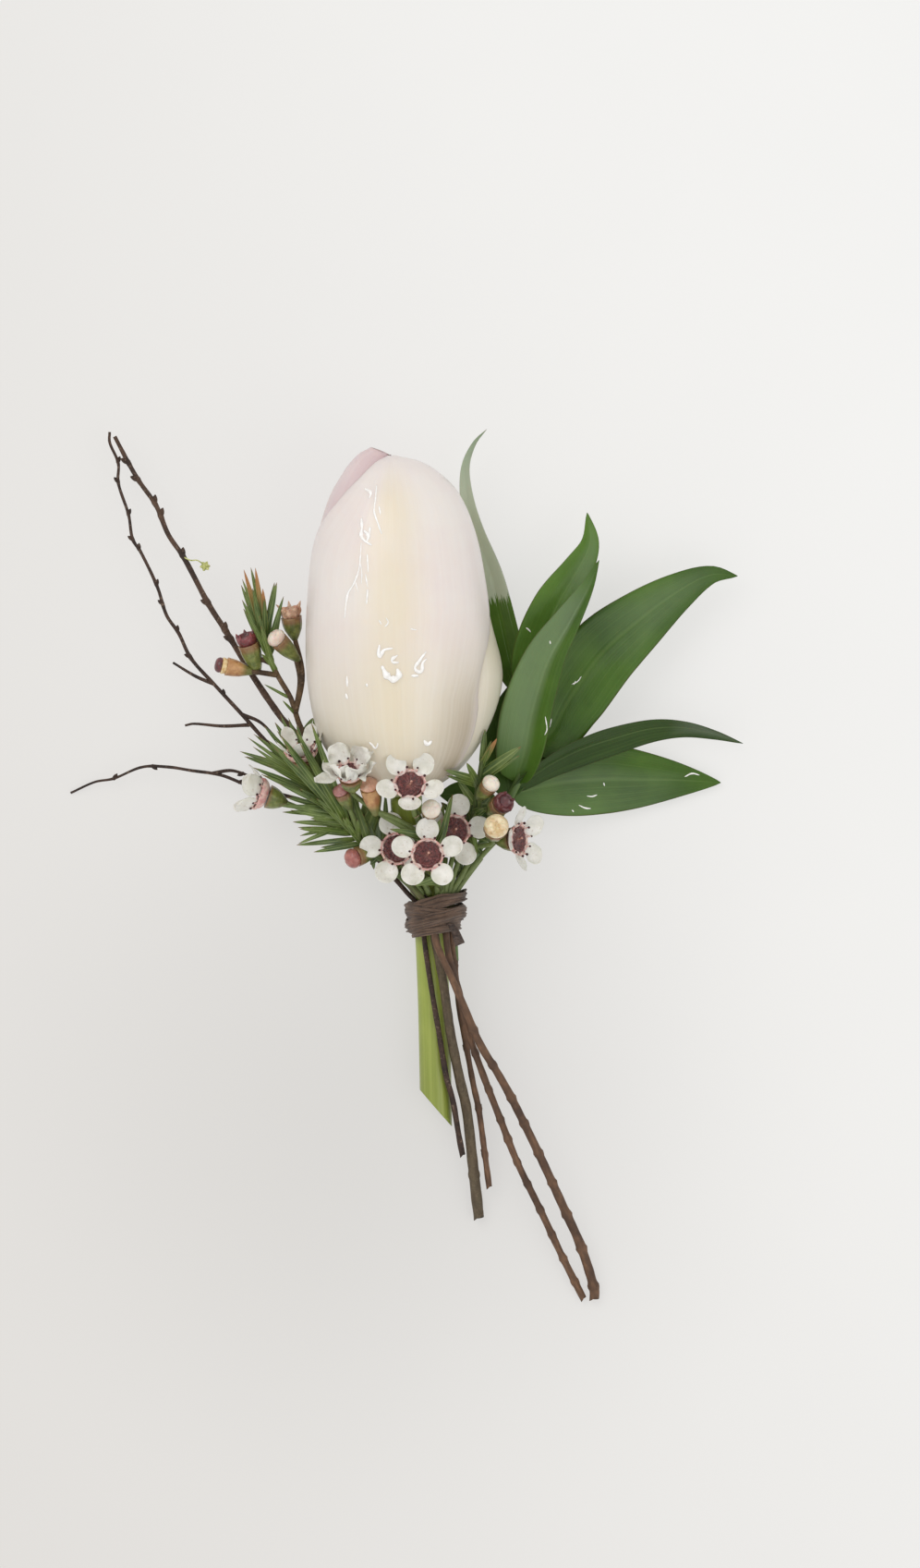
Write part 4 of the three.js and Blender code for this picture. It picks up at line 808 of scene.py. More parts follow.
# turn: where the first petal points, in degrees; cup: how far petals rise, and first_cup the first
# of them; crumple: their ruffle; breadth and tube: the petals' and the flower tube's share of
# their usual width; extra: angle, rise and breadth of each inner petal that is still closed
BLOOMS = {
    "waxflower_1": {"centre": (0.7, 14, 27.6), "faces": (0, 0.4, 0.92), "turn": -90, "cup": 24,
                    "crumple": 0.25},
    "waxflower_2": {"centre": (3.7, 2, 21.6), "faces": (-0.05, 0.15, 0.98), "turn": 90, "cup": 8,
                    "crumple": 0.15},
    "waxflower_3": {"centre": (-1.6, 3, 16.4), "faces": (-0.15, 0, 0.98), "turn": 175, "cup": 6,
                    "crumple": 0.2},
    "waxflower_4": {"centre": (8.2, 6.1, 14.4), "faces": (0.15, 0.1, 0.98), "turn": 80, "cup": 4,
                    "crumple": 0.2},
    "waxflower_5": {"centre": (19.2, 4.6, 15.2), "faces": (0.85, 0, 0.5), "turn": 90, "cup": 25,
                    "crumple": 0.3},
    "waxflower_6": {"centre": (-9.6, 16, 27.4), "faces": (-0.1, 0.68, 0.72), "turn": -95, "cup": 48,
                    "crumple": 1.5, "first_cup": 88, "tube": 0.82,
                    "extra": [(-135, 72, 1.1), (-58, 76, 1.15), (-160, 4, 0.6), (40, 70, 1.1)]},
    "waxflower_7": {"centre": (-25, 12.4, 12), "faces": (-0.92, 0.32, 0.12), "turn": 0, "cup": 55,
                    "crumple": 0.3},
    "waxflower_8": {"centre": (-18, 19.4, 18.6), "faces": (-0.1, 0.88, 0.45), "turn": 60, "cup": 58,
                    "crumple": 0.2, "breadth": 0.74},
}


def bloom_axes(faces):
    """Which way a bloom's own right and ahead point, and the way it faces."""
    axis = Vector(faces).normalized()
    hint = Vector((0, 1, 0)) if abs(axis.x) > 0.8 else Vector((1, 0, 0))
    right = (hint - axis * hint.dot(axis)).normalized()
    return right, axis.cross(right), axis


def lay_petal(bm, centre, axes, angle, cup, crumple, breadth, seed):
    right, ahead, axis = axes
    outward = right * math.cos(angle) + ahead * math.sin(angle)
    along_petal = outward * math.cos(cup) + axis * math.sin(cup)
    sideways = axis.cross(outward)
    normal = along_petal.cross(sideways)
    root = centre + outward * (PETAL_REACH - PETAL_LONG) * MM

    def place(across, along):
        run, side = 2 * along - 1, across
        run, side = run * math.sqrt(1 - side * side / 2), side * math.sqrt(1 - run * run / 2)
        rim = run * run + side * side
        claw = 1 - 0.45 * max(0, -run - 0.35)
        ruffle = crumple * rim * noise.noise(Vector((run * 1.7, side * 1.7, 0)) + seed)
        dish = 0.42 * rim + ruffle
        spot = root + along_petal * (run + 1) * PETAL_LONG * MM
        return spot + sideways * side * PETAL_WIDE * breadth * claw * MM + normal * dish * MM

    return skin(bm, 10, 10, place)


def lay_turned(bm, profile, centre, axes, sides, finish=0):
    """A turned form: the profile of (radius, height) in mm is spun once round the facing axis."""
    before = set(bm.verts)
    line = [bm.verts.new((radius * MM, 0, height * MM)) for radius, height in profile]
    edges = [bm.edges.new(pair) for pair in zip(line, line[1:])]
    bmesh.ops.spin(bm, geom=line + edges, cent=(0, 0, 0), axis=(0, 0, 1), dvec=(0, 0, 0),
                   angle=2 * math.pi, steps=sides, use_merge=True)
    made = [corner for corner in bm.verts if corner not in before]
    bmesh.ops.remove_doubles(bm, verts=made, dist=1e-7)
    made = [corner for corner in made if corner.is_valid]
    right, ahead, axis = axes
    turn = Matrix((right, ahead, axis)).transposed().to_4x4()
    bmesh.ops.transform(bm, matrix=Matrix.Translation(centre) @ turn, verts=made)
    for face in {face for corner in made for face in corner.link_faces}:
        face.material_index = finish
        face.smooth = True
    return made


petal = Finish("petal_waxy_white", Roughness=0.35, Subsurface_Weight=0.25, Subsurface_Radius=(1, 0.9, 0.75),
               Subsurface_Scale=0.0012, Coat_Weight=0.4, Coat_Roughness=0.15)
petal_clouds = petal.clouds(0.0022, paint(236, 234, 228), paint(213, 212, 202))
petal_flecks = petal.clouds(0.0005, WHITE, BLACK)
petal_thin = petal.mix(
    petal.between(petal.off_middle(), 0.55, 1, 0, 0.4), petal_clouds.outputs["Color"], paint(207, 210, 193))
petal_flushed = petal.mix(petal.between(petal.v, 0.2, 0, 0, 0.7), petal_thin, paint(224, 176, 168))
petal.colour(petal.mix(
    petal.between(petal_flecks.outputs["Value"], 0.04, 0, 0, 0.35), petal_flushed, paint(176, 148, 132)))
petal.bump(petal_clouds.outputs["Value"], 0.0002, 0.5)
rim = Finish("flower_rim_pink", Roughness=0.4, Subsurface_Weight=0.15, Subsurface_Scale=0.001,
             Coat_Weight=0.3)
rim_clouds = rim.clouds(0.0009, paint(240, 212, 200), paint(204, 142, 140))
rim.colour(rim_clouds.outputs["Color"])
rim.bump(rim_clouds.outputs["Value"], 0.00015, 0.6)
anther = Finish("anther_dark_red", Roughness=0.5)
anther_clouds = anther.clouds(0.0003, paint(84, 34, 36), paint(36, 14, 16))
anther.colour(anther_clouds.outputs["Color"])

for bloom_name, bloom in BLOOMS.items():
    centre = Vector(bloom["centre"]) * MM
    axes = bloom_axes(bloom["faces"])
    random.seed(bloom_name)
    bloom_mesh = fresh_mesh()
    layout = []
    for n in range(5):
        rise = bloom["cup"] if n else bloom.get("first_cup", bloom["cup"])
        rise += random.uniform(-5, 5)
        breadth = random.uniform(0.9, 1.04) * bloom.get("breadth", 1)
        layout.append((bloom["turn"] + 72 * n, rise, breadth))
    for n, (turned, rise, breadth) in enumerate(layout + bloom.get("extra", [])):
        petal_seed = Vector((n * 3.7, centre.x * 900, centre.y * 700))
        blade = lay_petal(bloom_mesh, centre, axes, math.radians(turned), math.radians(rise),
                          bloom["crumple"],
                          breadth, petal_seed)
        thicken(bloom_mesh, blade, PETAL_THICKNESS)
    tube = bloom.get("tube", 1)
    lay_turned(bloom_mesh, [(r * tube, h) for r, h in TUBE_PROFILE], centre, axes, 40, 1)
    right, ahead, axis = axes
    for n in range(10):
        angle = math.radians(bloom["turn"] + 36 * n + 10)
        outward = right * math.cos(angle) + ahead * math.sin(angle)
        foot = centre + outward * 2.55 * tube * MM + axis * 0.4 * MM
        bend = foot + outward * 0.25 * MM + axis * random.uniform(0.35, 0.55) * MM
        head = bend + outward * random.uniform(-0.1, 0.35) * MM + axis * random.uniform(0.15, 0.4) * MM
        lay_stalk(bloom_mesh, [foot, bend, head], narrowing(0.2, 0.1), 6, 4, 1)
        grain = bmesh.ops.create_icosphere(bloom_mesh, subdivisions=1,
                                           radius=random.uniform(0.24, 0.34) * MM)["verts"]
        bmesh.ops.translate(bloom_mesh, verts=grain, vec=head)
        for face in {face for corner in grain for face in corner.link_faces}:
            face.material_index = 2
            face.smooth = True
        if n % 2:
            lobe = foot + outward * 0.35 * MM + axis * 0.1 * MM
            lay_stalk(bloom_mesh, [foot - axis * 0.2 * MM, lobe, lobe + axis * 0.35 * MM],
                      narrowing(0.34, 0.12), 6, 4, 1)
    made = rounded(finished(f"{bloom_name}_bloom", bloom_mesh, petal.material, rim.material, anther.material))
    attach(made, "root")
    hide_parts(f"{bloom_name}_petals")


# Nectar cups. The shiny maroon floor of each flower tube, ridged from its middle outwards, with
# the pale style standing in it.
nectar = Finish("nectar_cup_maroon", Roughness=0.3, Coat_Weight=0.5, Coat_Roughness=0.12)
nectar_clouds = nectar.clouds(0.0004, paint(126, 60, 58), paint(62, 18, 24))
nectar_middle = nectar.attribute("near_style")
nectar.colour(nectar.mix(
    nectar.between(nectar_middle, 0.35, 1, 0, 0.6), nectar_clouds.outputs["Color"], paint(158, 98, 84)))
nectar.bump(nectar_clouds.outputs["Value"], 0.00025, 0.9)
style = Finish("style_pale", Roughness=0.45, Coat_Weight=0.3)
style_clouds = style.clouds(0.0004, paint(214, 170, 152), paint(160, 98, 88))
style.colour(style_clouds.outputs["Color"])

for bloom_name, bloom in BLOOMS.items():
    centre = Vector(bloom["centre"]) * MM
    axes = bloom_axes(bloom["faces"])
    cup_mesh = fresh_mesh()
    near_style = cup_mesh.verts.layers.float.new("near_style")
    bowl = lay_turned(
        cup_mesh, [(0, -0.15), (1.8, -0.15), (2.2, 0), (2.25, 0.3), (2.05, 0.44), (1.75, 0.32), (1.4, 0.2),
                   (1.1, 0.13), (0.8, 0.09), (0.5, 0.08), (0.25, 0.09), (0, 0.1)], centre, axes, 60)
    for corner in bowl:
        arm = corner.co - centre
        angle = math.atan2(arm.dot(axes[1]), arm.dot(axes[0]))
        out = arm.length / MM
        corner.co += axes[2] * 0.07 * MM * math.sin(15 * angle) * min(out / 1.5, 1)
        corner[near_style] = max(1 - out / 1.5 - 0.2 * math.cos(15 * angle), 0)
    lean = axes[0] * 0.25 + axes[1] * 0.2
    lay_stalk(cup_mesh, [centre, centre + (axes[2] + lean) * 0.6 * MM, centre + (axes[2] + lean) * 1.15 * MM],
              lambda run: 0.16 + 0.12 * run ** 4, 8, 8, 1)
    made = rounded(finished(f"{bloom_name}_nectar_cup", cup_mesh, nectar.material, style.material))
    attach(made, "root")
    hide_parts(f"{bloom_name}_cup")


# Waxflower buds and spent cups. Round waxy buds whose petals still overlap in a swirl, two maroon
# cups that have lost their petals, and a withered bloom, each seated on its own green calyx.
BUDS = {
    "bud_white_1": {"centre": (4.3, 9.8, 22.2), "faces": (0.1, 0.3, 0.95), "size": 1.05},
    "bud_white_2": {"centre": (14.5, 14.1, 18), "faces": (0.5, 0.6, 0.6), "size": 1},
    "bud_white_3": {"centre": (-22.3, 39.2, 13), "faces": (-0.65, 0.65, 0.4), "size": 1.05},
    "bud_amber": {"centre": (15.5, 6.8, 20.6), "faces": (0.1, 0.3, 0.95), "size": 1.35},
    "bud_peach": {"centre": (-6.4, 13.8, 22.4), "faces": (-0.2, 0.85, 0.5), "size": 1.05},
    "bud_pink_1": {"centre": (-11.2, 12.9, 19.6), "faces": (-0.4, 0.8, 0.45), "size": 0.9},
    "bud_pink_2": {"centre": (-9, 1.4, 15.4), "faces": (-0.85, -0.3, 0.45), "size": 1.1},
    "bud_tawny": {"centre": (-31.6, 34.6, 10.6), "faces": (-0.97, 0.2, 0.15), "size": 1},
    "cup_spent_1": {"centre": (-27.5, 38.9, 11.2), "faces": (-0.3, 0.9, 0.3), "size": 1.2},
    "cup_spent_2": {"centre": (16.6, 10.8, 17.4), "faces": (0.5, 0.35, 0.8), "size": 1.2},
    "bloom_withered": {"centre": (-20, 43.6, 11), "faces": (-0.15, 0.95, 0.25), "size": 1.15},
}
SPENT_PROFILE = [(0, -0.95), (0.9, -0.92), (1.35, -0.4), (1.6, 0.2), (1.5, 0.8), (1.25, 1.05), (1.05, 0.9),
                 (0.9, 0.45), (0, 0.2)]


def bud_finish(name, light, dark, patch, tip, gloss=0.5):
    """A waxy bud, cloudy between two colours, with flecks of another colour."""
    bud = Finish(name, Roughness=0.32, Subsurface_Weight=0.2, Subsurface_Scale=0.001, Coat_Weight=gloss,
                 Coat_Roughness=0.12)
    clouds = bud.clouds(patch, light, dark)
    flecks = bud.clouds(patch * 0.3, WHITE, BLACK)
    bud.colour(bud.mix(bud.between(flecks.outputs["Value"], 0.12, 0, 0, 0.4), clouds.outputs["Color"], tip))
    bud.bump(clouds.outputs["Value"], 0.00015, 0.5)
    return bud.material


BUD_FINISHES = {
    "bud_white_1": (bud_finish("bud_blush_white", paint(242, 236, 226), paint(232, 220, 206), 0.0018,
                               paint(226, 196, 184)), "petal_white"),
    "bud_white_2": (bud_finish("bud_cream_white", paint(240, 234, 222), paint(228, 216, 200), 0.0018,
                               paint(216, 184, 170)), "petal_white"),
    "bud_white_3": (bud_finish("bud_speckled_white", paint(240, 230, 218), paint(214, 190, 174), 0.0014,
                               paint(160, 108, 98)), "petal_white"),
    "bud_amber": (bud_finish("bud_mottled_amber", paint(240, 228, 194), paint(206, 176, 126), 0.0013,
                             paint(122, 82, 40)), "bud_amber"),
    "bud_peach": (bud_finish("bud_peach_orange", paint(238, 200, 178), paint(206, 146, 112), 0.0016,
                             paint(170, 100, 70)), "bud_peach"),
    "bud_pink_1": (bud_finish("bud_dusky_pink", paint(190, 134, 130), paint(146, 90, 90), 0.0014,
                              paint(112, 64, 64)), "bud_pink"),
    "bud_pink_2": (bud_finish("bud_rose_pink", paint(186, 118, 108), paint(142, 78, 74), 0.0014,
                              paint(104, 56, 54)), "bud_pink"),
    "bud_tawny": (bud_finish("bud_tawny_maroon", paint(120, 48, 54), paint(76, 26, 32), 0.0009,
                             paint(60, 18, 24)), "bud_peach"),
    "cup_spent_1": (bud_finish("spent_cup_red", paint(134, 56, 62), paint(84, 32, 38), 0.0012,
                               paint(56, 18, 24)), "cup_maroon"),
    "cup_spent_2": (bud_finish("spent_cup_plum", paint(116, 58, 62), paint(72, 30, 36), 0.0012,
                               paint(50, 18, 24)), "cup_maroon"),
    "bloom_withered": (bud_finish("withered_beige", paint(222, 188, 162), paint(168, 122, 98), 0.0009,
                                  paint(112, 70, 58), 0.1), "withered"),
}
collar = Finish("bud_collar_cream", Roughness=0.5)
collar_clouds = collar.clouds(0.0006, paint(238, 220, 176), paint(206, 168, 110))
collar.colour(collar_clouds.outputs["Color"])


def lay_swirled_bud(bm, centre, axes, size):
    ball = [(1.62 * size * math.sin(math.pi * n / 14) ** 0.95,
             size * (0.27 - 1.22 * math.cos(math.pi * n / 14)))
            for n in range(15)]
    for corner in lay_turned(bm, ball, centre, axes, 30):
        arm = corner.co - centre
        height = arm.dot(axes[2]) / MM / size
        angle = math.atan2(arm.dot(axes[1]), arm.dot(axes[0]))
        seam = abs(math.sin(2.5 * angle + 1.9 * height))
        if height > 0:
            corner.co -= arm * 0.09 * math.exp(-((seam / 0.2) ** 2)) * min(height, 1)


def lay_sepals(bm, centre, axes, size, count, length, spread):
    right, ahead, axis = axes
    for n in range(count):
        angle = 2 * math.pi * (n + 0.3) / count
        outward = right * math.cos(angle) + ahead * math.sin(angle)
        foot = centre + (outward * 1.25 + axis * 0.6) * size * MM
        middle = foot + (outward * spread * 0.4 + axis * 0.5) * length * MM
        tip = middle + (outward * spread * random.uniform(0.2, 0.7) + axis * 0.5) * length * MM
        lay_stalk(bm, [foot, middle, tip], lambda run: 0.42 * size * (1.02 - run) ** 0.8, 8, 6)


for bud_name, bud in BUDS.items():
    centre = Vector(bud["centre"]) * MM
    axes = bloom_axes(bud["faces"])
    size = bud["size"]
    random.seed(bud_name)
    bud_mesh = fresh_mesh()
    if bud_name == "bud_tawny":
        cap = [(0, 0.3), (1.2, 0.32), (1.42, 0.6), (1.3, 1.1), (0.9, 1.5), (0, 1.6)]
        lay_turned(bud_mesh, cap, centre, axes, 28)
        lay_turned(bud_mesh, [(0, -0.95), (1.2, -0.95), (1.45, 0.1), (1.5, 0.3), (1.2, 0.45), (0, 0.4)],
                   centre, axes, 28, 1)
        lay_sepals(bud_mesh, centre, axes, 0.6 * size, 3, 0.8, -0.5)
    elif bud_name.startswith("bud"):
        lay_swirled_bud(bud_mesh, centre, axes, size)
    else:
        wilt = 0.35 if bud_name == "bloom_withered" else 0.05
        for corner in lay_turned(bud_mesh, [(r * size, h * size) for r, h in SPENT_PROFILE], centre, axes,
                                 28):
            arm = (corner.co - centre) / MM
            corner.co += (corner.co - centre) * wilt * noise.noise(arm * 1.3)
        lay_sepals(bud_mesh, centre, axes, size, 5, 1 if wilt < 0.1 else 1.2, 0.1 if wilt < 0.1 else 0.8)
    bud_material, bud_slot = BUD_FINISHES[bud_name]
    made = rounded(finished(f"{bud_name}_waxy", bud_mesh, bud_material, collar.material))
    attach(made, "root")
    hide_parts(bud_name)


# Waxflower sprigs. Three woody stems run through the binding and turn green above it. Thin stalks
# end in ribbed calyxes under the blooms and buds, with flat, narrow leaves all round.
CALYX_LENGTH = 3.4
SPRIGS = {
    "left": {
        "spine": [(32.6, -75.7, 0.92), (32.6, -73.6, 1.3), (30.2, -65.9, 3), (27.8, -60.5, 4.2),
                  (22.9, -49.8, 6.7), (18.2, -40.2, 9), (15.7, -35.7, 10), (12.8, -30.9, 11.1),
                  (10.4, -25.3, 12.1), (8, -19.7, 12.9), (5.2, -13.3, 13), (4.2, -8, 12.7), (1.8, -4.6, 13),
                  (-3, 0, 13.6), (-8, 4.3, 13.4), (-12, 9.5, 12.6), (-15.5, 14, 12), (-18.5, 17.5, 11.6)],
        "radii": (0.85, 0.45),
        "knots": [(32.5, -73), (30.4, -66.5), (27.8, -60.5), (25.2, -55), (22.9, -49.8), (20.4, -44.6),
                  (18.2, -40.2), (15, -34.4), (11.6, -28.4)],
        "tuft": [(-6.5, 3, 13.5), (-10, 9, 11.9), (-13.8, 16, 10.9), (-18.3, 24, 10.5), (-20, 29, 10.2),
                 (-22.3, 33, 10), (-24.2, 37.5, 10), (-24.3, 40.5, 10.4)],
        "stalks": {
            "waxflower_7": [(-9, 5.6, 13.2), (-13, 8, 11.8), (-17.5, 9.6, 11.6)],
            "waxflower_8": [(-12, 9.5, 12.6), (-15, 12.4, 14.6)],
            "bud_pink_1": [(-8, 4.3, 13.4), (-8.6, 6.8, 15)],
            "bud_pink_2": [(-4, 1, 13.6), (-5.2, 2.2, 13.8)],
            "bud_white_3": [(-19.2, 26.4, 10.4), (-18.4, 32, 10)],
            "bud_tawny": [(-22.3, 33, 10), (-25, 33.4, 10.4)],
            "cup_spent_1": [(-23.2, 35, 10), (-25.4, 35.6, 10.3)],
            "bloom_withered": [(-19.2, 26.4, 10.4), (-18, 33, 10.2)],
        },
        "leaves": [
            (0.97, -28, 18.9, 11.5), (0.99, -25.6, 20.6, 11.2, 0.7), (0.975, -22.7, 24.8, 12.8, 1.3),
            (0.96, -24, 21.8, 13.4), (0.98, -18.9, 24.5, 13, 1.1), (0.95, -16, 26.2, 11.6, 1.3),
            (0.93, -16.2, 21.6, 13.6), (0.88, -18.7, 3.8, 13.4, 0.9), (0.86, -18.4, 6.4, 13.2, 1.1),
            (0.89, -16.5, 8.2, 14.2), (0.85, -12.4, 4.6, 15, 0.8), (0.91, -20.6, 11.8, 14.4),
            (0.93, -26.4, 17, 14.6, 1.1), (0.92, -24.4, 15.6, 17.6, 0.8), (0.9, -21.4, 9.3, 13.6),
            (0.94, -22.6, 16.8, 14.4), (0.96, -21, 19.4, 15), (0.9, -18.4, 13.4, 16.2),
            (0.87, -14.6, 10.6, 16.6, 0.9), (0.86, -9.2, 8.8, 16.4, 0.9), (0.86, -10.4, 8.4, 17.4, 0.8),
            (0.82, -5.6, -0.6, 12.2, 0.9), (0.88, -19.6, 7.6, 12.2), (0.95, -27.4, 22.2, 12.2, 0.8),
            (0.97, -20.8, 23.4, 14.4), (0.91, -22, 10.4, 15.6, 0.9), (0.93, -20, 22.8, 16, 0.9),
            (0.84, -14.8, 3.2, 12.4, 0.9), (0.86, -16.8, 6.8, 15.6, 0.9), (0.89, -14.6, 14.6, 17.4, 0.9),
            (0.92, -14.4, 19.4, 15.4), (0.98, -28.8, 19.8, 10.6, 0.9), (0.99, -24.6, 24.2, 11.4),
            (0.97, -26.4, 22.8, 11.2, 0.9), (0.96, -20.4, 25.6, 11.6, 0.9), (0.98, -21.8, 26.2, 12.4, 0.8),
            (0.84, -16, 2.4, 13.4, 0.9), (0.85, -19, 3.6, 11.6, 0.9), (0.88, -18.4, 5.2, 11.2, 0.8),
            (0.9, -16.6, 11.6, 17.8, 0.8), (0.95, -25.2, 19, 16.8, 0.8),
        ],
        "inner_leaves": [
            (0.78, -2, 10, 10.5, 1.4), (0.8, -5, 11.5, 11, 1.4), (0.8, -7.5, 9, 12.5, 1.3),
            (0.77, 0.6, 9.6, 10, 1.4), (0.82, -9.5, 13, 14, 1.3), (0.79, -3.6, 12.6, 14, 1.2),
            (0.83, -10.5, 7, 14.5, 1.2), (0.9, -21.6, 22.6, 25.4, 1.3), (0.88, -18.9, 23.6, 27.4, 1.2),
            (0.88, -20.8, 21, 26.4, 1.2), (0.87, -16.2, 24.6, 27, 1.3), (0.87, -18.2, 21.2, 27, 1.2),
            (0.9, -22.6, 20.4, 24.4, 1.1), (0.8, 2.5, 11, 9.5, 1.7), (0.82, 5, 9.6, 9.5, 1.6),
            (0.8, -3.6, 7.6, 10.5, 1.6), (0.8, -1.2, 12.6, 9, 1.7), (0.79, -5.4, 10.4, 9.6, 1.6),
            (0.8, -6.4, 13.6, 10.4, 1.5), (0.78, 1.2, 13.8, 8.8, 1.6), (0.84, -4.4, 13, 11, 2.3),
            (0.84, -6.6, 12.6, 10.6, 2.1), (0.86, -8.8, 12.6, 10.8, 1.9),
        ],
        "tuft_leaves": [
            (0.93, -28.6, 48.6, 9.6), (0.95, -28.1, 51.2, 11.2), (0.97, -26.1, 51.5, 12),
            (0.96, -26.6, 48, 12.8), (0.98, -24.8, 47.9, 12.6), (0.92, -28.4, 46, 11.6, 0.9),
            (0.9, -27.6, 43.8, 13.4, 0.8), (0.97, -22.8, 49, 10.6), (0.85, -25, 36.6, 12.6, 0.8),
            (0.63, -21.4, 28.6, 11.4, 0.5), (0.55, -16.2, 25.6, 8.4, 0.9), (0.99, -26.9, 51.6, 10.6, 0.9),
            (0.98, -22.4, 49, 11.6), (0.95, -27.6, 45.4, 10.4), (0.97, -28.4, 49.6, 10.4, 0.8),
            (0.88, -25.4, 43.2, 14, 0.8), (0.92, -21.2, 46.6, 12.2, 0.8), (0.7, -24.6, 31.4, 10.6, 0.5),
        ],
    },
    "centre": {
        "spine": [(30.9, -75.6, 0.75), (27.2, -68.2, 2.3), (23.2, -59.7, 3.8), (19.2, -51.4, 5.3),
                  (16.3, -44, 6.7), (13.1, -35.7, 8.3), (10.6, -28.4, 9.4), (9, -21.3, 10.4),
                  (7.2, -14.9, 11.2),
                  (6.6, -8, 11.1), (6, -4.5, 12.6), (5.4, -1.2, 14.8), (4.6, 4, 18.4), (1.8, 8.6, 21)],
        "radii": (0.62, 0.55),
        "knots": [(29.3, -72.3), (27.2, -68.2), (25.2, -64), (23.2, -59.7), (21, -55.2), (19.2, -51.4),
                  (17.6, -47.4), (16.3, -44), (14.2, -38.8), (12, -32.4)],
        "stalks": {
            "waxflower_1": [(1.6, 8.6, 20.6)],
            "waxflower_2": [(5.6, -3.4, 13.4), (4.8, -1.6, 15.4)],
            "waxflower_3": [(5.6, -3.4, 13.4), (2.4, -0.8, 12.4)],
            "waxflower_6": [(4.6, 4, 18.4), (-3.4, 8.4, 18.6), (-8.8, 12.2, 20.2)],
            "bud_white_1": [(4.6, 4, 18.4), (3.8, 6.6, 18.8)],
            "bud_peach": [(4.6, 4, 18.4), (-1.4, 8, 18.6)],
        },
        "fan": [
            [(3, -5, 12.3), (0, -1, 12.6), (-2.6, 2.6, 13)], [(4, -5, 12.8), (2.2, -1, 13.4), (0.8, 2.4, 14)],
            [(5.4, -5, 13), (5.2, -1, 13.8), (5, 2, 15)], [(6.6, -5, 12.6), (7.4, -1, 12.6), (8.4, 3, 12)],
            [(7.6, -5, 11.6), (9.6, -1.6, 11.2), (11.6, 2, 11)],
            [(2.2, -5, 11.4), (-1, -2, 11.4), (-4.4, 1, 12)],
            [(7.2, -5, 12), (8.2, -1.6, 11.8), (9.4, 2, 11.4)],
            [(8.2, -5, 10.4), (10.4, -2, 10), (13, 1.4, 10)],
            [(6, -5, 13), (6.4, -2, 12.4), (6.8, 1.4, 11.4)],
        ],
        "inner_leaves": [
            (0.86, 3.6, 8.4, 12.4, 1.4), (0.87, 6.4, 11, 13, 1.4), (0.88, 1.2, 9.6, 14.6, 1.3),
            (0.9, 8, 12.4, 15.4, 1.3), (0.9, 0, 6.6, 17, 1.1),
        ],
        "leaves": [
            (0.99, 0.6, 11.6, 20.4), (0.95, -2.8, 6.4, 20.2, 1.1), (0.94, 6, 8.2, 19),
            (0.9, 7, 3, 17.4, 0.9), (0.86, 1.4, -3.4, 17, 1.1),
        ],
    },
    "right": {
        "spine": [(14.4, -56.2, 2.8), (13.6, -50.1, 3.4), (12.5, -42.1, 4.3), (11.6, -38, 4.8),
                  (10.4, -31.5, 5.7), (9.2, -25, 6.5), (8.4, -17.3, 7.3), (7.9, -13.3, 7.8), (7.6, -8, 8.4),
                  (8.8, -3.6, 9.6), (9.8, 3, 10.8), (11.4, 8, 12), (12.3, 13, 14.6), (13.2, 19, 17.4)],
        "radii": (0.53, 0.45),
        "knots": [(13.6, -50.1), (12.5, -42.1), (10.4, -31.5), (8.4, -17.3)],
        "stalks": {
            "waxflower_4": [(9.2, -1, 10.4), (8.2, 3, 9.8)],
            "waxflower_5": [(8.8, -3.6, 9.6), (12.4, 1, 11)],
            "bud_white_2": [(11, 6.8, 11.7), (12.6, 9.8, 13.6)],
            "bud_amber": [(9.9, 3.4, 10.9), (14.6, 3.8, 13.6)],
            "cup_spent_2": [(11, 6.8, 11.7), (14.2, 8.4, 12.8)],
        },
        "inner_leaves": [
            (0.85, 12.6, 13.6, 11.6, 1.5), (0.83, 10.4, 11.6, 10.6, 1.5), (0.87, 16.6, 10.2, 11.4, 1.4),
            (0.8, 13.6, 1.6, 9.8, 1.2), (0.88, 8.8, 15, 14.4, 1.3), (0.82, 6, 11, 9.6, 1.7),
            (0.8, 3.6, 9.6, 9.2, 1.7), (0.82, 8.8, 12.6, 9.4, 1.7), (0.84, 14.6, 12, 10.4, 1.5),
            (0.78, 11.6, 6.6, 9.4, 1.6), (0.78, 5.4, 6.6, 9.4, 1.6),
        ],
        "tan_tips": [1],
        "leaves": [
            (0.99, 13.6, 23.6, 19.6), (0.98, 15.6, 22, 20.4, 1.2), (0.95, 19.8, 20.6, 18.4, 1.6),
            (0.93, 10.4, 17.8, 20.6, 1.2), (0.94, 6.6, 16.6, 24.4, 1.1), (0.86, 13.4, 10, 16.8, 1.2),
            (0.82, 15.8, 4, 13.4, 1.5), (0.84, 12.2, 2, 15.6, 0.9),
        ],
    },
}
NEEDLE_HALF = 0.55
NEEDLE_THICKNESS = 0.26 * MM
SPINE_STEPS = 300
CALYX_BUD_LENGTH = 2.9
LONG_CALYXES = {"bud_white_3": 4.2, "bud_tawny": 4, "cup_spent_1": 4, "bud_peach": 4.4}
TAN_CALYXES = ("bud_tawny", "bud_peach")
TUFT_TAN_LEAVES = (1, 2, 4)
# A sprig's finishes, in the order in which it is given them
WOOD, STALK, NEEDLE, CALYX, TAN_NEEDLE, TAN_CALYX, CUT_END, TUFT_BARK = range(8)


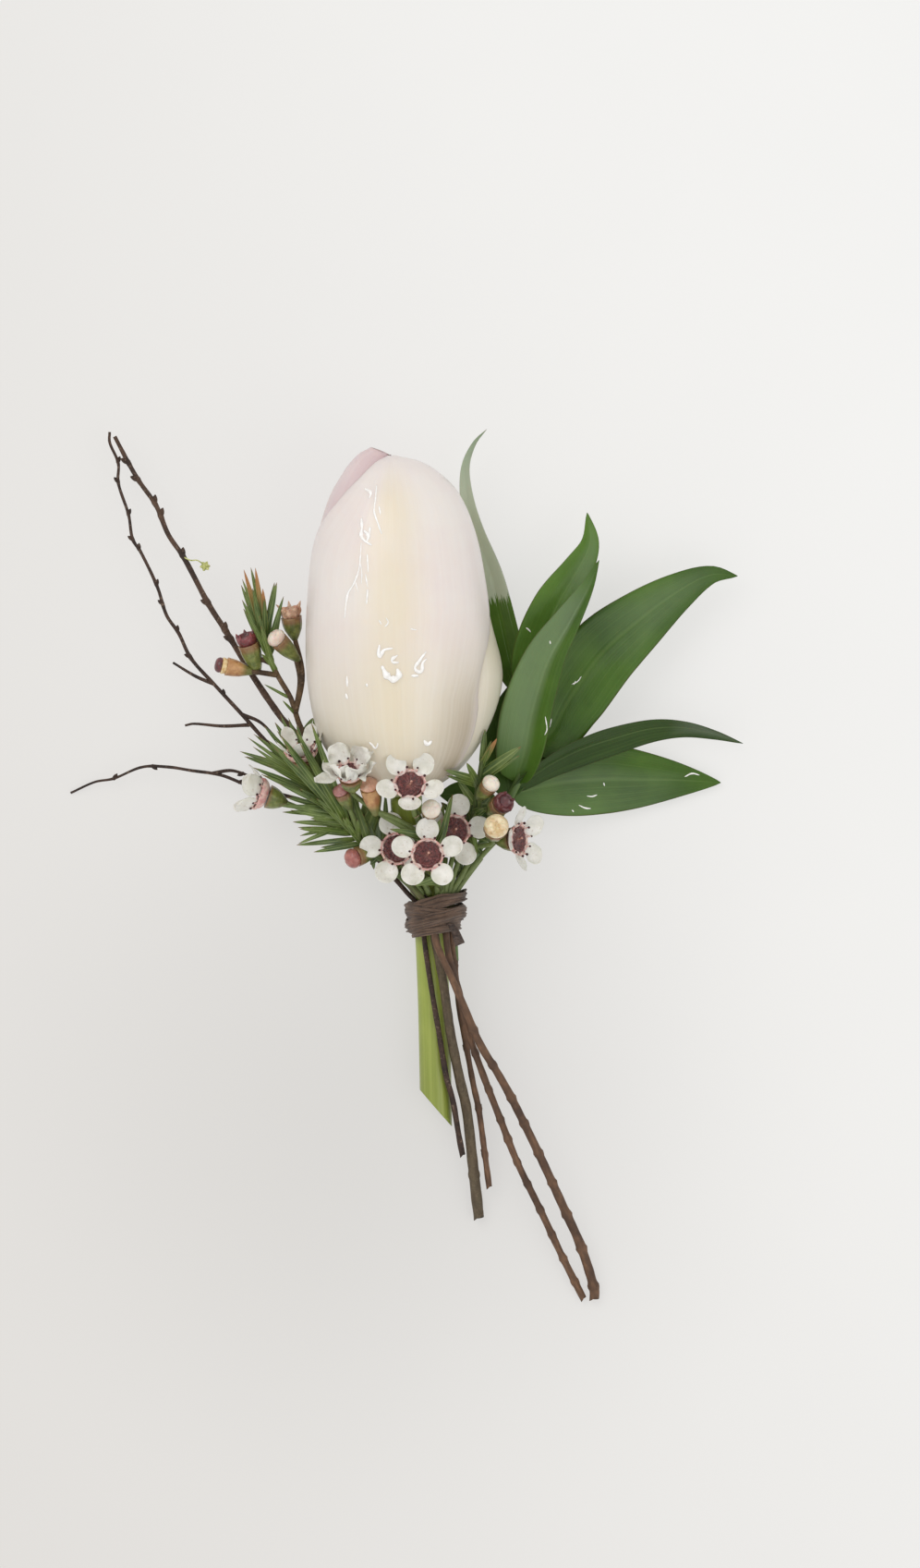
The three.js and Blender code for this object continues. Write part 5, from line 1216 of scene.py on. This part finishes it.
def lay_needle(bm, path, share, x, y, z, width=1, finish=NEEDLE):
    """A flat, narrow leaf with a shallow gutter, from its place on the stem out to its tip."""
    root = path[round(share * (len(path) - 1))]
    tip = Vector((x, y, z)) * MM
    span = tip - root
    sideways = span.cross(UP).normalized()
    over = sideways.cross(span).normalized()
    roll = noise.noise(Vector((x, y, z))) * 0.9
    right = sideways * math.cos(roll) + over * math.sin(roll)
    over = over * math.cos(roll) - sideways * math.sin(roll)

    def place(across, along):
        half = NEEDLE_HALF * width * min(1, 0.45 + along * 4) * max(1.02 - along ** 3.2, 0) ** 0.8
        bow = 0.24 * along * (1 - along) * span.length
        gutter = (across * across - 0.6) * 0.2 * half
        return root + span * along + UP * bow + right * across * half * MM + over * gutter * MM

    thicken(bm, skin(bm, 4, 12, place, finish), NEEDLE_THICKNESS)


def lay_calyx(bm, centre, axes, drop, top_radius, length, lip, finish):
    """The ribbed green funnel under a bloom or bud, which it holds in its lip."""
    top = centre - axes[2] * drop * MM
    profile = [(0, -length), (0.45, -length), (0.6, -length * 0.92), (top_radius * 0.6, -length * 0.7),
               (top_radius * 0.85, -length * 0.42), (top_radius * 0.96, -length * 0.18), (top_radius, 0),
               (top_radius * 1.02, lip * 0.6), (top_radius * 1.04, lip), (top_radius * 0.9, lip), (0, 0.1)]
    down = bm.verts.layers.float["down_calyx"]
    for corner in lay_turned(bm, profile, top, axes, 30, finish):
        arm = corner.co - top
        corner[down] = -arm.dot(axes[2]) / MM / length
        angle = math.atan2(arm.dot(axes[1]), arm.dot(axes[0]))
        flat = arm - axes[2] * arm.dot(axes[2])
        corner.co += flat * 0.05 * math.cos(10 * angle)


wood = Finish("sprig_bark_turning_green", Roughness=0.65)
wood_grain = wood.lines(8, 50)
wood_clouds = wood.clouds(0.004, paint(118, 86, 62), paint(72, 49, 35))
wood_height = wood.add("ShaderNodeSeparateXYZ", {0: wood.object}).outputs["Y"]
wood_turned = wood.mix(
    wood.between(wood_height, -0.012, -0.001), wood_clouds.outputs["Color"], paint(88, 108, 56))
wood.colour(wood.mix(wood.between(wood_grain, 0.38, 0.62, 0.45, 0), wood_turned, paint(60, 44, 32)))
wood.bump(wood_grain, 0.0002, 0.8)
stalk_green = Finish("sprig_stalk_green", Roughness=0.5)
stalk_lines = stalk_green.lines(6, 14)
stalk_green.colour(stalk_green.mix(stalk_lines, paint(70, 88, 44), paint(132, 146, 84)))
stalk_green.bump(stalk_lines, 0.0001, 0.6)


def needle_finish(name, dark, light, tip, tip_start):
    needle = Finish(name, Roughness=0.42, Coat_Weight=0.2, Coat_Roughness=0.25)
    lines = needle.lines(9, 2)
    clouds = needle.clouds(0.005, light, dark)
    off = needle.off_middle()
    ribbed = needle.mix(needle.between(off, 0.22, 0.05, 0, 0.5), clouds.outputs["Color"],
                        paint(158, 172, 104))
    edged = needle.mix(needle.between(off, 0.7, 1, 0, 0.6), ribbed, paint(150, 164, 96))
    needle.colour(needle.mix(needle.between(needle.v, tip_start, 1, 0, 0.95), edged, tip))
    needle.bump(lines, 0.00015, 0.6)
    return needle.material


needle_green = needle_finish("needle_green", paint(56, 82, 28), paint(104, 124, 54), paint(122, 92, 52), 0.9)
needle_tan = needle_finish("needle_orange_tipped", paint(88, 98, 42), paint(124, 128, 64),
                           paint(172, 112, 62), 0.3)
calyx = Finish("calyx_green", Roughness=0.42, Coat_Weight=0.25, Coat_Roughness=0.2, Subsurface_Weight=0.1,
               Subsurface_Scale=0.001)
calyx_clouds = calyx.clouds(0.0012, paint(134, 142, 74), paint(86, 98, 42))
calyx_down = calyx.attribute("down_calyx")
calyx_lipped = calyx.mix(calyx.between(calyx_down, 0.2, -0.1, 0, 0.6), calyx_clouds.outputs["Color"],
                         paint(150, 92, 74))
calyx.colour(calyx.mix(calyx.between(calyx_down, 0.6, 1, 0, 0.6), calyx_lipped, paint(78, 82, 40)))
calyx.bump(calyx_clouds.outputs["Value"], 0.00015, 0.7)
tan_calyx = Finish("calyx_tan", Roughness=0.45, Coat_Weight=0.25, Coat_Roughness=0.2)
tan_clouds = tan_calyx.clouds(0.0014, paint(206, 162, 110), paint(160, 106, 66))
tan_down = tan_calyx.attribute("down_calyx")
tan_calyx.colour(tan_calyx.mix(tan_calyx.between(tan_down, 0.3, 0.8), tan_clouds.outputs["Color"],
                               paint(112, 114, 58)))
tan_calyx.bump(tan_clouds.outputs["Value"], 0.00012, 0.6)
tuft_bark = bark_finish("sprig_bark_brown", paint(112, 88, 60), paint(62, 46, 32))

for sprig_name, sprig in SPRIGS.items():
    sprig_mesh = fresh_mesh()
    sprig_mesh.verts.layers.float.new("down_calyx")
    spine = run_through(spots(sprig["spine"]), SPINE_STEPS)
    branch = lay_branch(sprig_mesh, sprig["spine"], *sprig["radii"], sprig["knots"], WOOD, CUT_END, 0.8)
    for n, (x, y) in enumerate(sprig["knots"]):
        twig_bud(sprig_mesh, branch[::-1], x, y, 1 if n % 2 else -1, 0.6)
        twig_bud(sprig_mesh, branch[::-1], x, y, -1 if n % 3 else 1, 0.5)
    for tip_name, route in sprig["stalks"].items():
        is_bloom = tip_name in BLOOMS
        head = BLOOMS[tip_name] if is_bloom else BUDS[tip_name]
        size = 1 if is_bloom else head["size"]
        drop = 1.3 if is_bloom else 1.25 * size + 0.02
        length = CALYX_LENGTH if is_bloom else LONG_CALYXES.get(tip_name, CALYX_BUD_LENGTH) * size
        centre = Vector(head["centre"]) * MM
        axes = bloom_axes(head["faces"])
        foot = centre - axes[2] * (drop + length * 0.8) * MM
        lay_calyx(sprig_mesh, centre, axes, drop, 1.95 if is_bloom else 1.45 * size, length,
                  0.15 if is_bloom else 0.8 * size, TAN_CALYX if tip_name in TAN_CALYXES else CALYX)
        in_tuft = "tuft" in sprig and centre.y > 30 * MM
        stalk_bark = TUFT_BARK if in_tuft else STALK
        lay_stalk(sprig_mesh, [*spots(route), foot], narrowing(0.5, 0.42), 8, 14, stalk_bark)
    random.seed(sprig_name)
    for n, (share, x, y, z, *width) in enumerate(sprig["leaves"]):
        tint = TAN_NEEDLE if n in sprig.get("tan_tips", []) else NEEDLE
        lay_needle(sprig_mesh, spine, share, x, y, z, *(width or [1]), tint)
        # The lowest leaves on the left stand alone, the others have a companion
        if x < -12 and y < 7:
            continue
        beside = spine[round(share * SPINE_STEPS)] * (1 / MM) * 0.14 + Vector((x, y, z)) * 0.86
        beside += Vector([random.uniform(-1, 1) for _ in range(3)]) * 0.9
        lay_needle(sprig_mesh, spine, max(share - 0.012, 0.5), *beside, 0.85)
    for needle in sprig["inner_leaves"]:
        lay_needle(sprig_mesh, spine, *needle)
    for route in sprig.get("fan", []):
        lay_stalk(sprig_mesh, spots(route), narrowing(0.5, 0.42), 8, 14, STALK)
    if "tuft" in sprig:
        lay_stalk(sprig_mesh, spots(sprig["tuft"]), narrowing(0.6, 0.4), 10, 40, TUFT_BARK)
        tuft = run_through(spots(sprig["tuft"]), SPINE_STEPS)
        for n, (share, x, y, z, *width) in enumerate(sprig["tuft_leaves"]):
            tint = TAN_NEEDLE if n in TUFT_TAN_LEAVES else NEEDLE
            lay_needle(sprig_mesh, tuft, share, x, y, z, *(width or [1]), tint)
            if share < 0.72:
                continue
            beside = tuft[round(share * SPINE_STEPS)] * (1 / MM) * 0.16 + Vector((x, y, z)) * 0.84
            beside += Vector([random.uniform(-1, 1) for _ in range(3)]) * 0.8
            lay_needle(sprig_mesh, tuft, max(share - 0.03, 0.3), *beside, 0.95)
    made = finished(f"waxflower_sprig_{sprig_name}_leafy", sprig_mesh, wood.material, stalk_green.material,
                    needle_green, calyx.material, needle_tan, tan_calyx.material, cut_wood.material,
                    tuft_bark)
    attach(made, "root")
    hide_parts(f"waxflower_sprig_{sprig_name}")


# Binding. Four strands of crinkled brown paper ribbon, each a closed ring round the neck, pulled
# tight into lengthwise folds, with a tail cut short on the right.
NECK_MIDDLE = Vector((5, -8.6, 8.6)) * MM
NECK_HALF_WIDTH = 4.75
NECK_HALF_HEIGHT = 5.5
RIBBON_THICKNESS = 0.16 * MM
TAIL_THICKNESS = 0.2 * MM
TAIL_ROWS = 16
# offset: up the neck in mm; slant: rise towards the right; half: half the strand's width; lift: how
# far out from the neck it lies; seed: of its folds
RIBBON_STRANDS = [
    {"offset": -2, "slant": 0.14, "half": 1.2, "lift": -0.3, "seed": 6.1},
    {"offset": 2, "slant": 0.34, "half": 1.1, "lift": 0.05, "seed": 1.3},
    {"offset": 0.8, "slant": -0.04, "half": 1.3, "lift": 0.15, "seed": 3.4},
    {"offset": -0.5, "slant": 0.26, "half": 1.2, "lift": 0.35, "seed": 9.7},
]
ribbon = Finish("ribbon_brown_paper", Roughness=0.62, Sheen_Weight=0.15)
ribbon_lines = ribbon.lines(9, 5)
ribbon_fibre = ribbon.lines(36, 9)
ribbon_clouds = ribbon.clouds(0.0024, paint(118, 92, 74), paint(82, 62, 49))
# painted shade: the creases between the ribbon's folds are darkened
ribbon_crease_shade = ribbon.mix(
    ribbon.between(ribbon_lines, 0.36, 0.5, 0.85, 0), ribbon_clouds.outputs["Color"], paint(44, 31, 25))
ribbon.colour(ribbon.mix(ribbon.between(ribbon_fibre, 0.55, 0.75, 0, 0.35), ribbon_crease_shade,
                         paint(142, 120, 98)))
ribbon.bump(ribbon.math("ADD", ribbon_lines, ribbon.math("MULTIPLY", ribbon_fibre, 0.3)), 0.0006, 0.9)
ribbon_end = Finish("ribbon_end_dark", Roughness=0.5)
ribbon_end_clouds = ribbon_end.clouds(0.0009, paint(92, 74, 64), paint(40, 30, 28))
ribbon_end.colour(ribbon_end_clouds.outputs["Color"])
ribbon_end.bump(ribbon_end_clouds.outputs["Value"], 0.0003, 0.8)


def lay_strand(bm, offset, slant, half, lift, seed):
    def place(across, along):
        angle = 2 * math.pi * along
        ring = Vector((math.cos(angle), math.sin(angle), seed))
        fold = noise.noise(Vector((across * 3.2, ring.x * 0.8, ring.y * 0.8 + seed)))
        pinch = noise.noise(Vector((ring.x * 1.3, ring.y * 1.3, seed + 4)))
        pinched = half * (1 + 0.35 * pinch)
        y = offset + slant * NECK_HALF_WIDTH * ring.x + across * pinched + 0.4 * pinch
        out = lift + 0.3 * (1 - across * across) + 0.5 * fold + 0.12 * y
        x = (NECK_HALF_WIDTH + out) * ring.x
        z = (NECK_HALF_HEIGHT + out) * ring.y
        return NECK_MIDDLE + Vector((x, y, z)) * MM

    loop = skin(bm, 16, 120, place)
    bmesh.ops.remove_doubles(bm, verts=loop, dist=1e-6)
    thicken(bm, [corner for corner in loop if corner.is_valid], RIBBON_THICKNESS)


ribbon_mesh = fresh_mesh()
for strand in RIBBON_STRANDS:
    lay_strand(ribbon_mesh, **strand)
TAIL_ROUTE = [(7.6, -9.9, 13.3), (8.3, -11, 13), (8.8, -12.2, 12.4), (9.3, -13.6, 12.1)]
tail_path = run_through(spots(TAIL_ROUTE), TAIL_ROWS)


def place_tail(across, along):
    middle = tail_path[round(along * TAIL_ROWS)]
    half = 0.62 + 0.2 * along
    fold = 0.35 * noise.noise(Vector((across * 1.6, along * 3, 2.2)))
    return middle + Vector((across * half, 0.35 * across * along, fold)) * MM


thicken(ribbon_mesh, skin(ribbon_mesh, 6, TAIL_ROWS, place_tail, 1), TAIL_THICKNESS)
binding = finished("ribbon_wraps", ribbon_mesh, ribbon.material, ribbon_end.material)
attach(binding, "root")
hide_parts("ribbon_binding")


# The surface, light and camera: a plain pale sheet that glows a little to soften the shadows on it,
# with painted shade darker to the left and round the lower stems; soft daylight from a broad window
# above, and a long lens that looks straight down.
FLOOR_HALF = 1.6
FRAME_MIDDLE = Vector((9.28, 14.16, 8)) * MM
FRAME_HEIGHT = 271.5 * MM
CAMERA_HEIGHT = 2.0

# painted light: the sheet glows, so the shadows cast on it stay faint
sheet = Finish("pale_surface", Roughness=0.75, Emission_Strength=0.6)
sheet_place = sheet.add("ShaderNodeSeparateXYZ", {0: sheet.object}).outputs
# painted shade: the sheet is darker towards its left and lower edge
sheet_across = sheet.math("ADD", sheet_place["X"], sheet.math("MULTIPLY", sheet_place["Y"], 0.4))
sheet_painted_shade = sheet.mix(sheet.between(sheet_across, -0.16, 0.16), paint(102, 98, 91), paint(145, 147, 147))
sheet_clouds = sheet.clouds(0.09, WHITE, paint(250, 250, 250))
sheet.colour(sheet.mix(1.0, sheet_painted_shade, sheet_clouds.outputs["Color"], "MULTIPLY"))
# painted shade: the glow is dimmed round the lower stems, as if they shaded it
sheet_reach = sheet.add(
    "ShaderNodeVectorMath", {0: sheet.object, 1: (-0.004, -0.041, 0)}, operation="DISTANCE").outputs["Value"]
sheet_painted_shade_glow = sheet.mix(
    sheet.between(sheet_reach, 0.085, 0), (1, 0.986, 0.974, 1), (0.84, 0.826, 0.815, 1))
sheet.tree.links.new(sheet_painted_shade_glow, sheet.shader.inputs["Emission Color"])
floor_mesh = bmesh.new()
bmesh.ops.create_grid(floor_mesh, x_segments=2, y_segments=2, size=FLOOR_HALF)
floor = finished("surface", floor_mesh, sheet.material)


def soft_light(name, place, size, power, tint):
    lamp = bpy.data.lights.new(name, "AREA")
    lamp.shape = "DISK"
    lamp.size = size
    lamp.energy = power
    lamp.color = tint
    holder = bpy.data.objects.new(name, lamp)
    holder.location = place
    holder.rotation_euler = (FRAME_MIDDLE - Vector(place)).to_track_quat("-Z", "Y").to_euler()
    bpy.context.scene.collection.objects.link(holder)


soft_light("window", (-0.7, 0.8, 1.4), 1.3, 7.5, (1, 0.985, 0.955))
soft_light("wall", (1.0, -0.6, 1.5), 1.3, 4.5, (1, 0.99, 0.97))
world = bpy.data.worlds.new("room")
world.use_nodes = True
world.node_tree.nodes["Background"].inputs["Color"].default_value = (1, 0.985, 0.955, 1)
world.node_tree.nodes["Background"].inputs["Strength"].default_value = 0.78
bpy.context.scene.world = world
bpy.context.scene.view_settings.view_transform = "Standard"

lens = bpy.data.cameras.new("lens")
lens.lens = lens.sensor_width * (CAMERA_HEIGHT - FRAME_MIDDLE.z) / FRAME_HEIGHT
camera = bpy.data.objects.new("camera", lens)
camera.location = (FRAME_MIDDLE.x, FRAME_MIDDLE.y, CAMERA_HEIGHT)
bpy.context.scene.collection.objects.link(camera)
bpy.context.scene.camera = camera
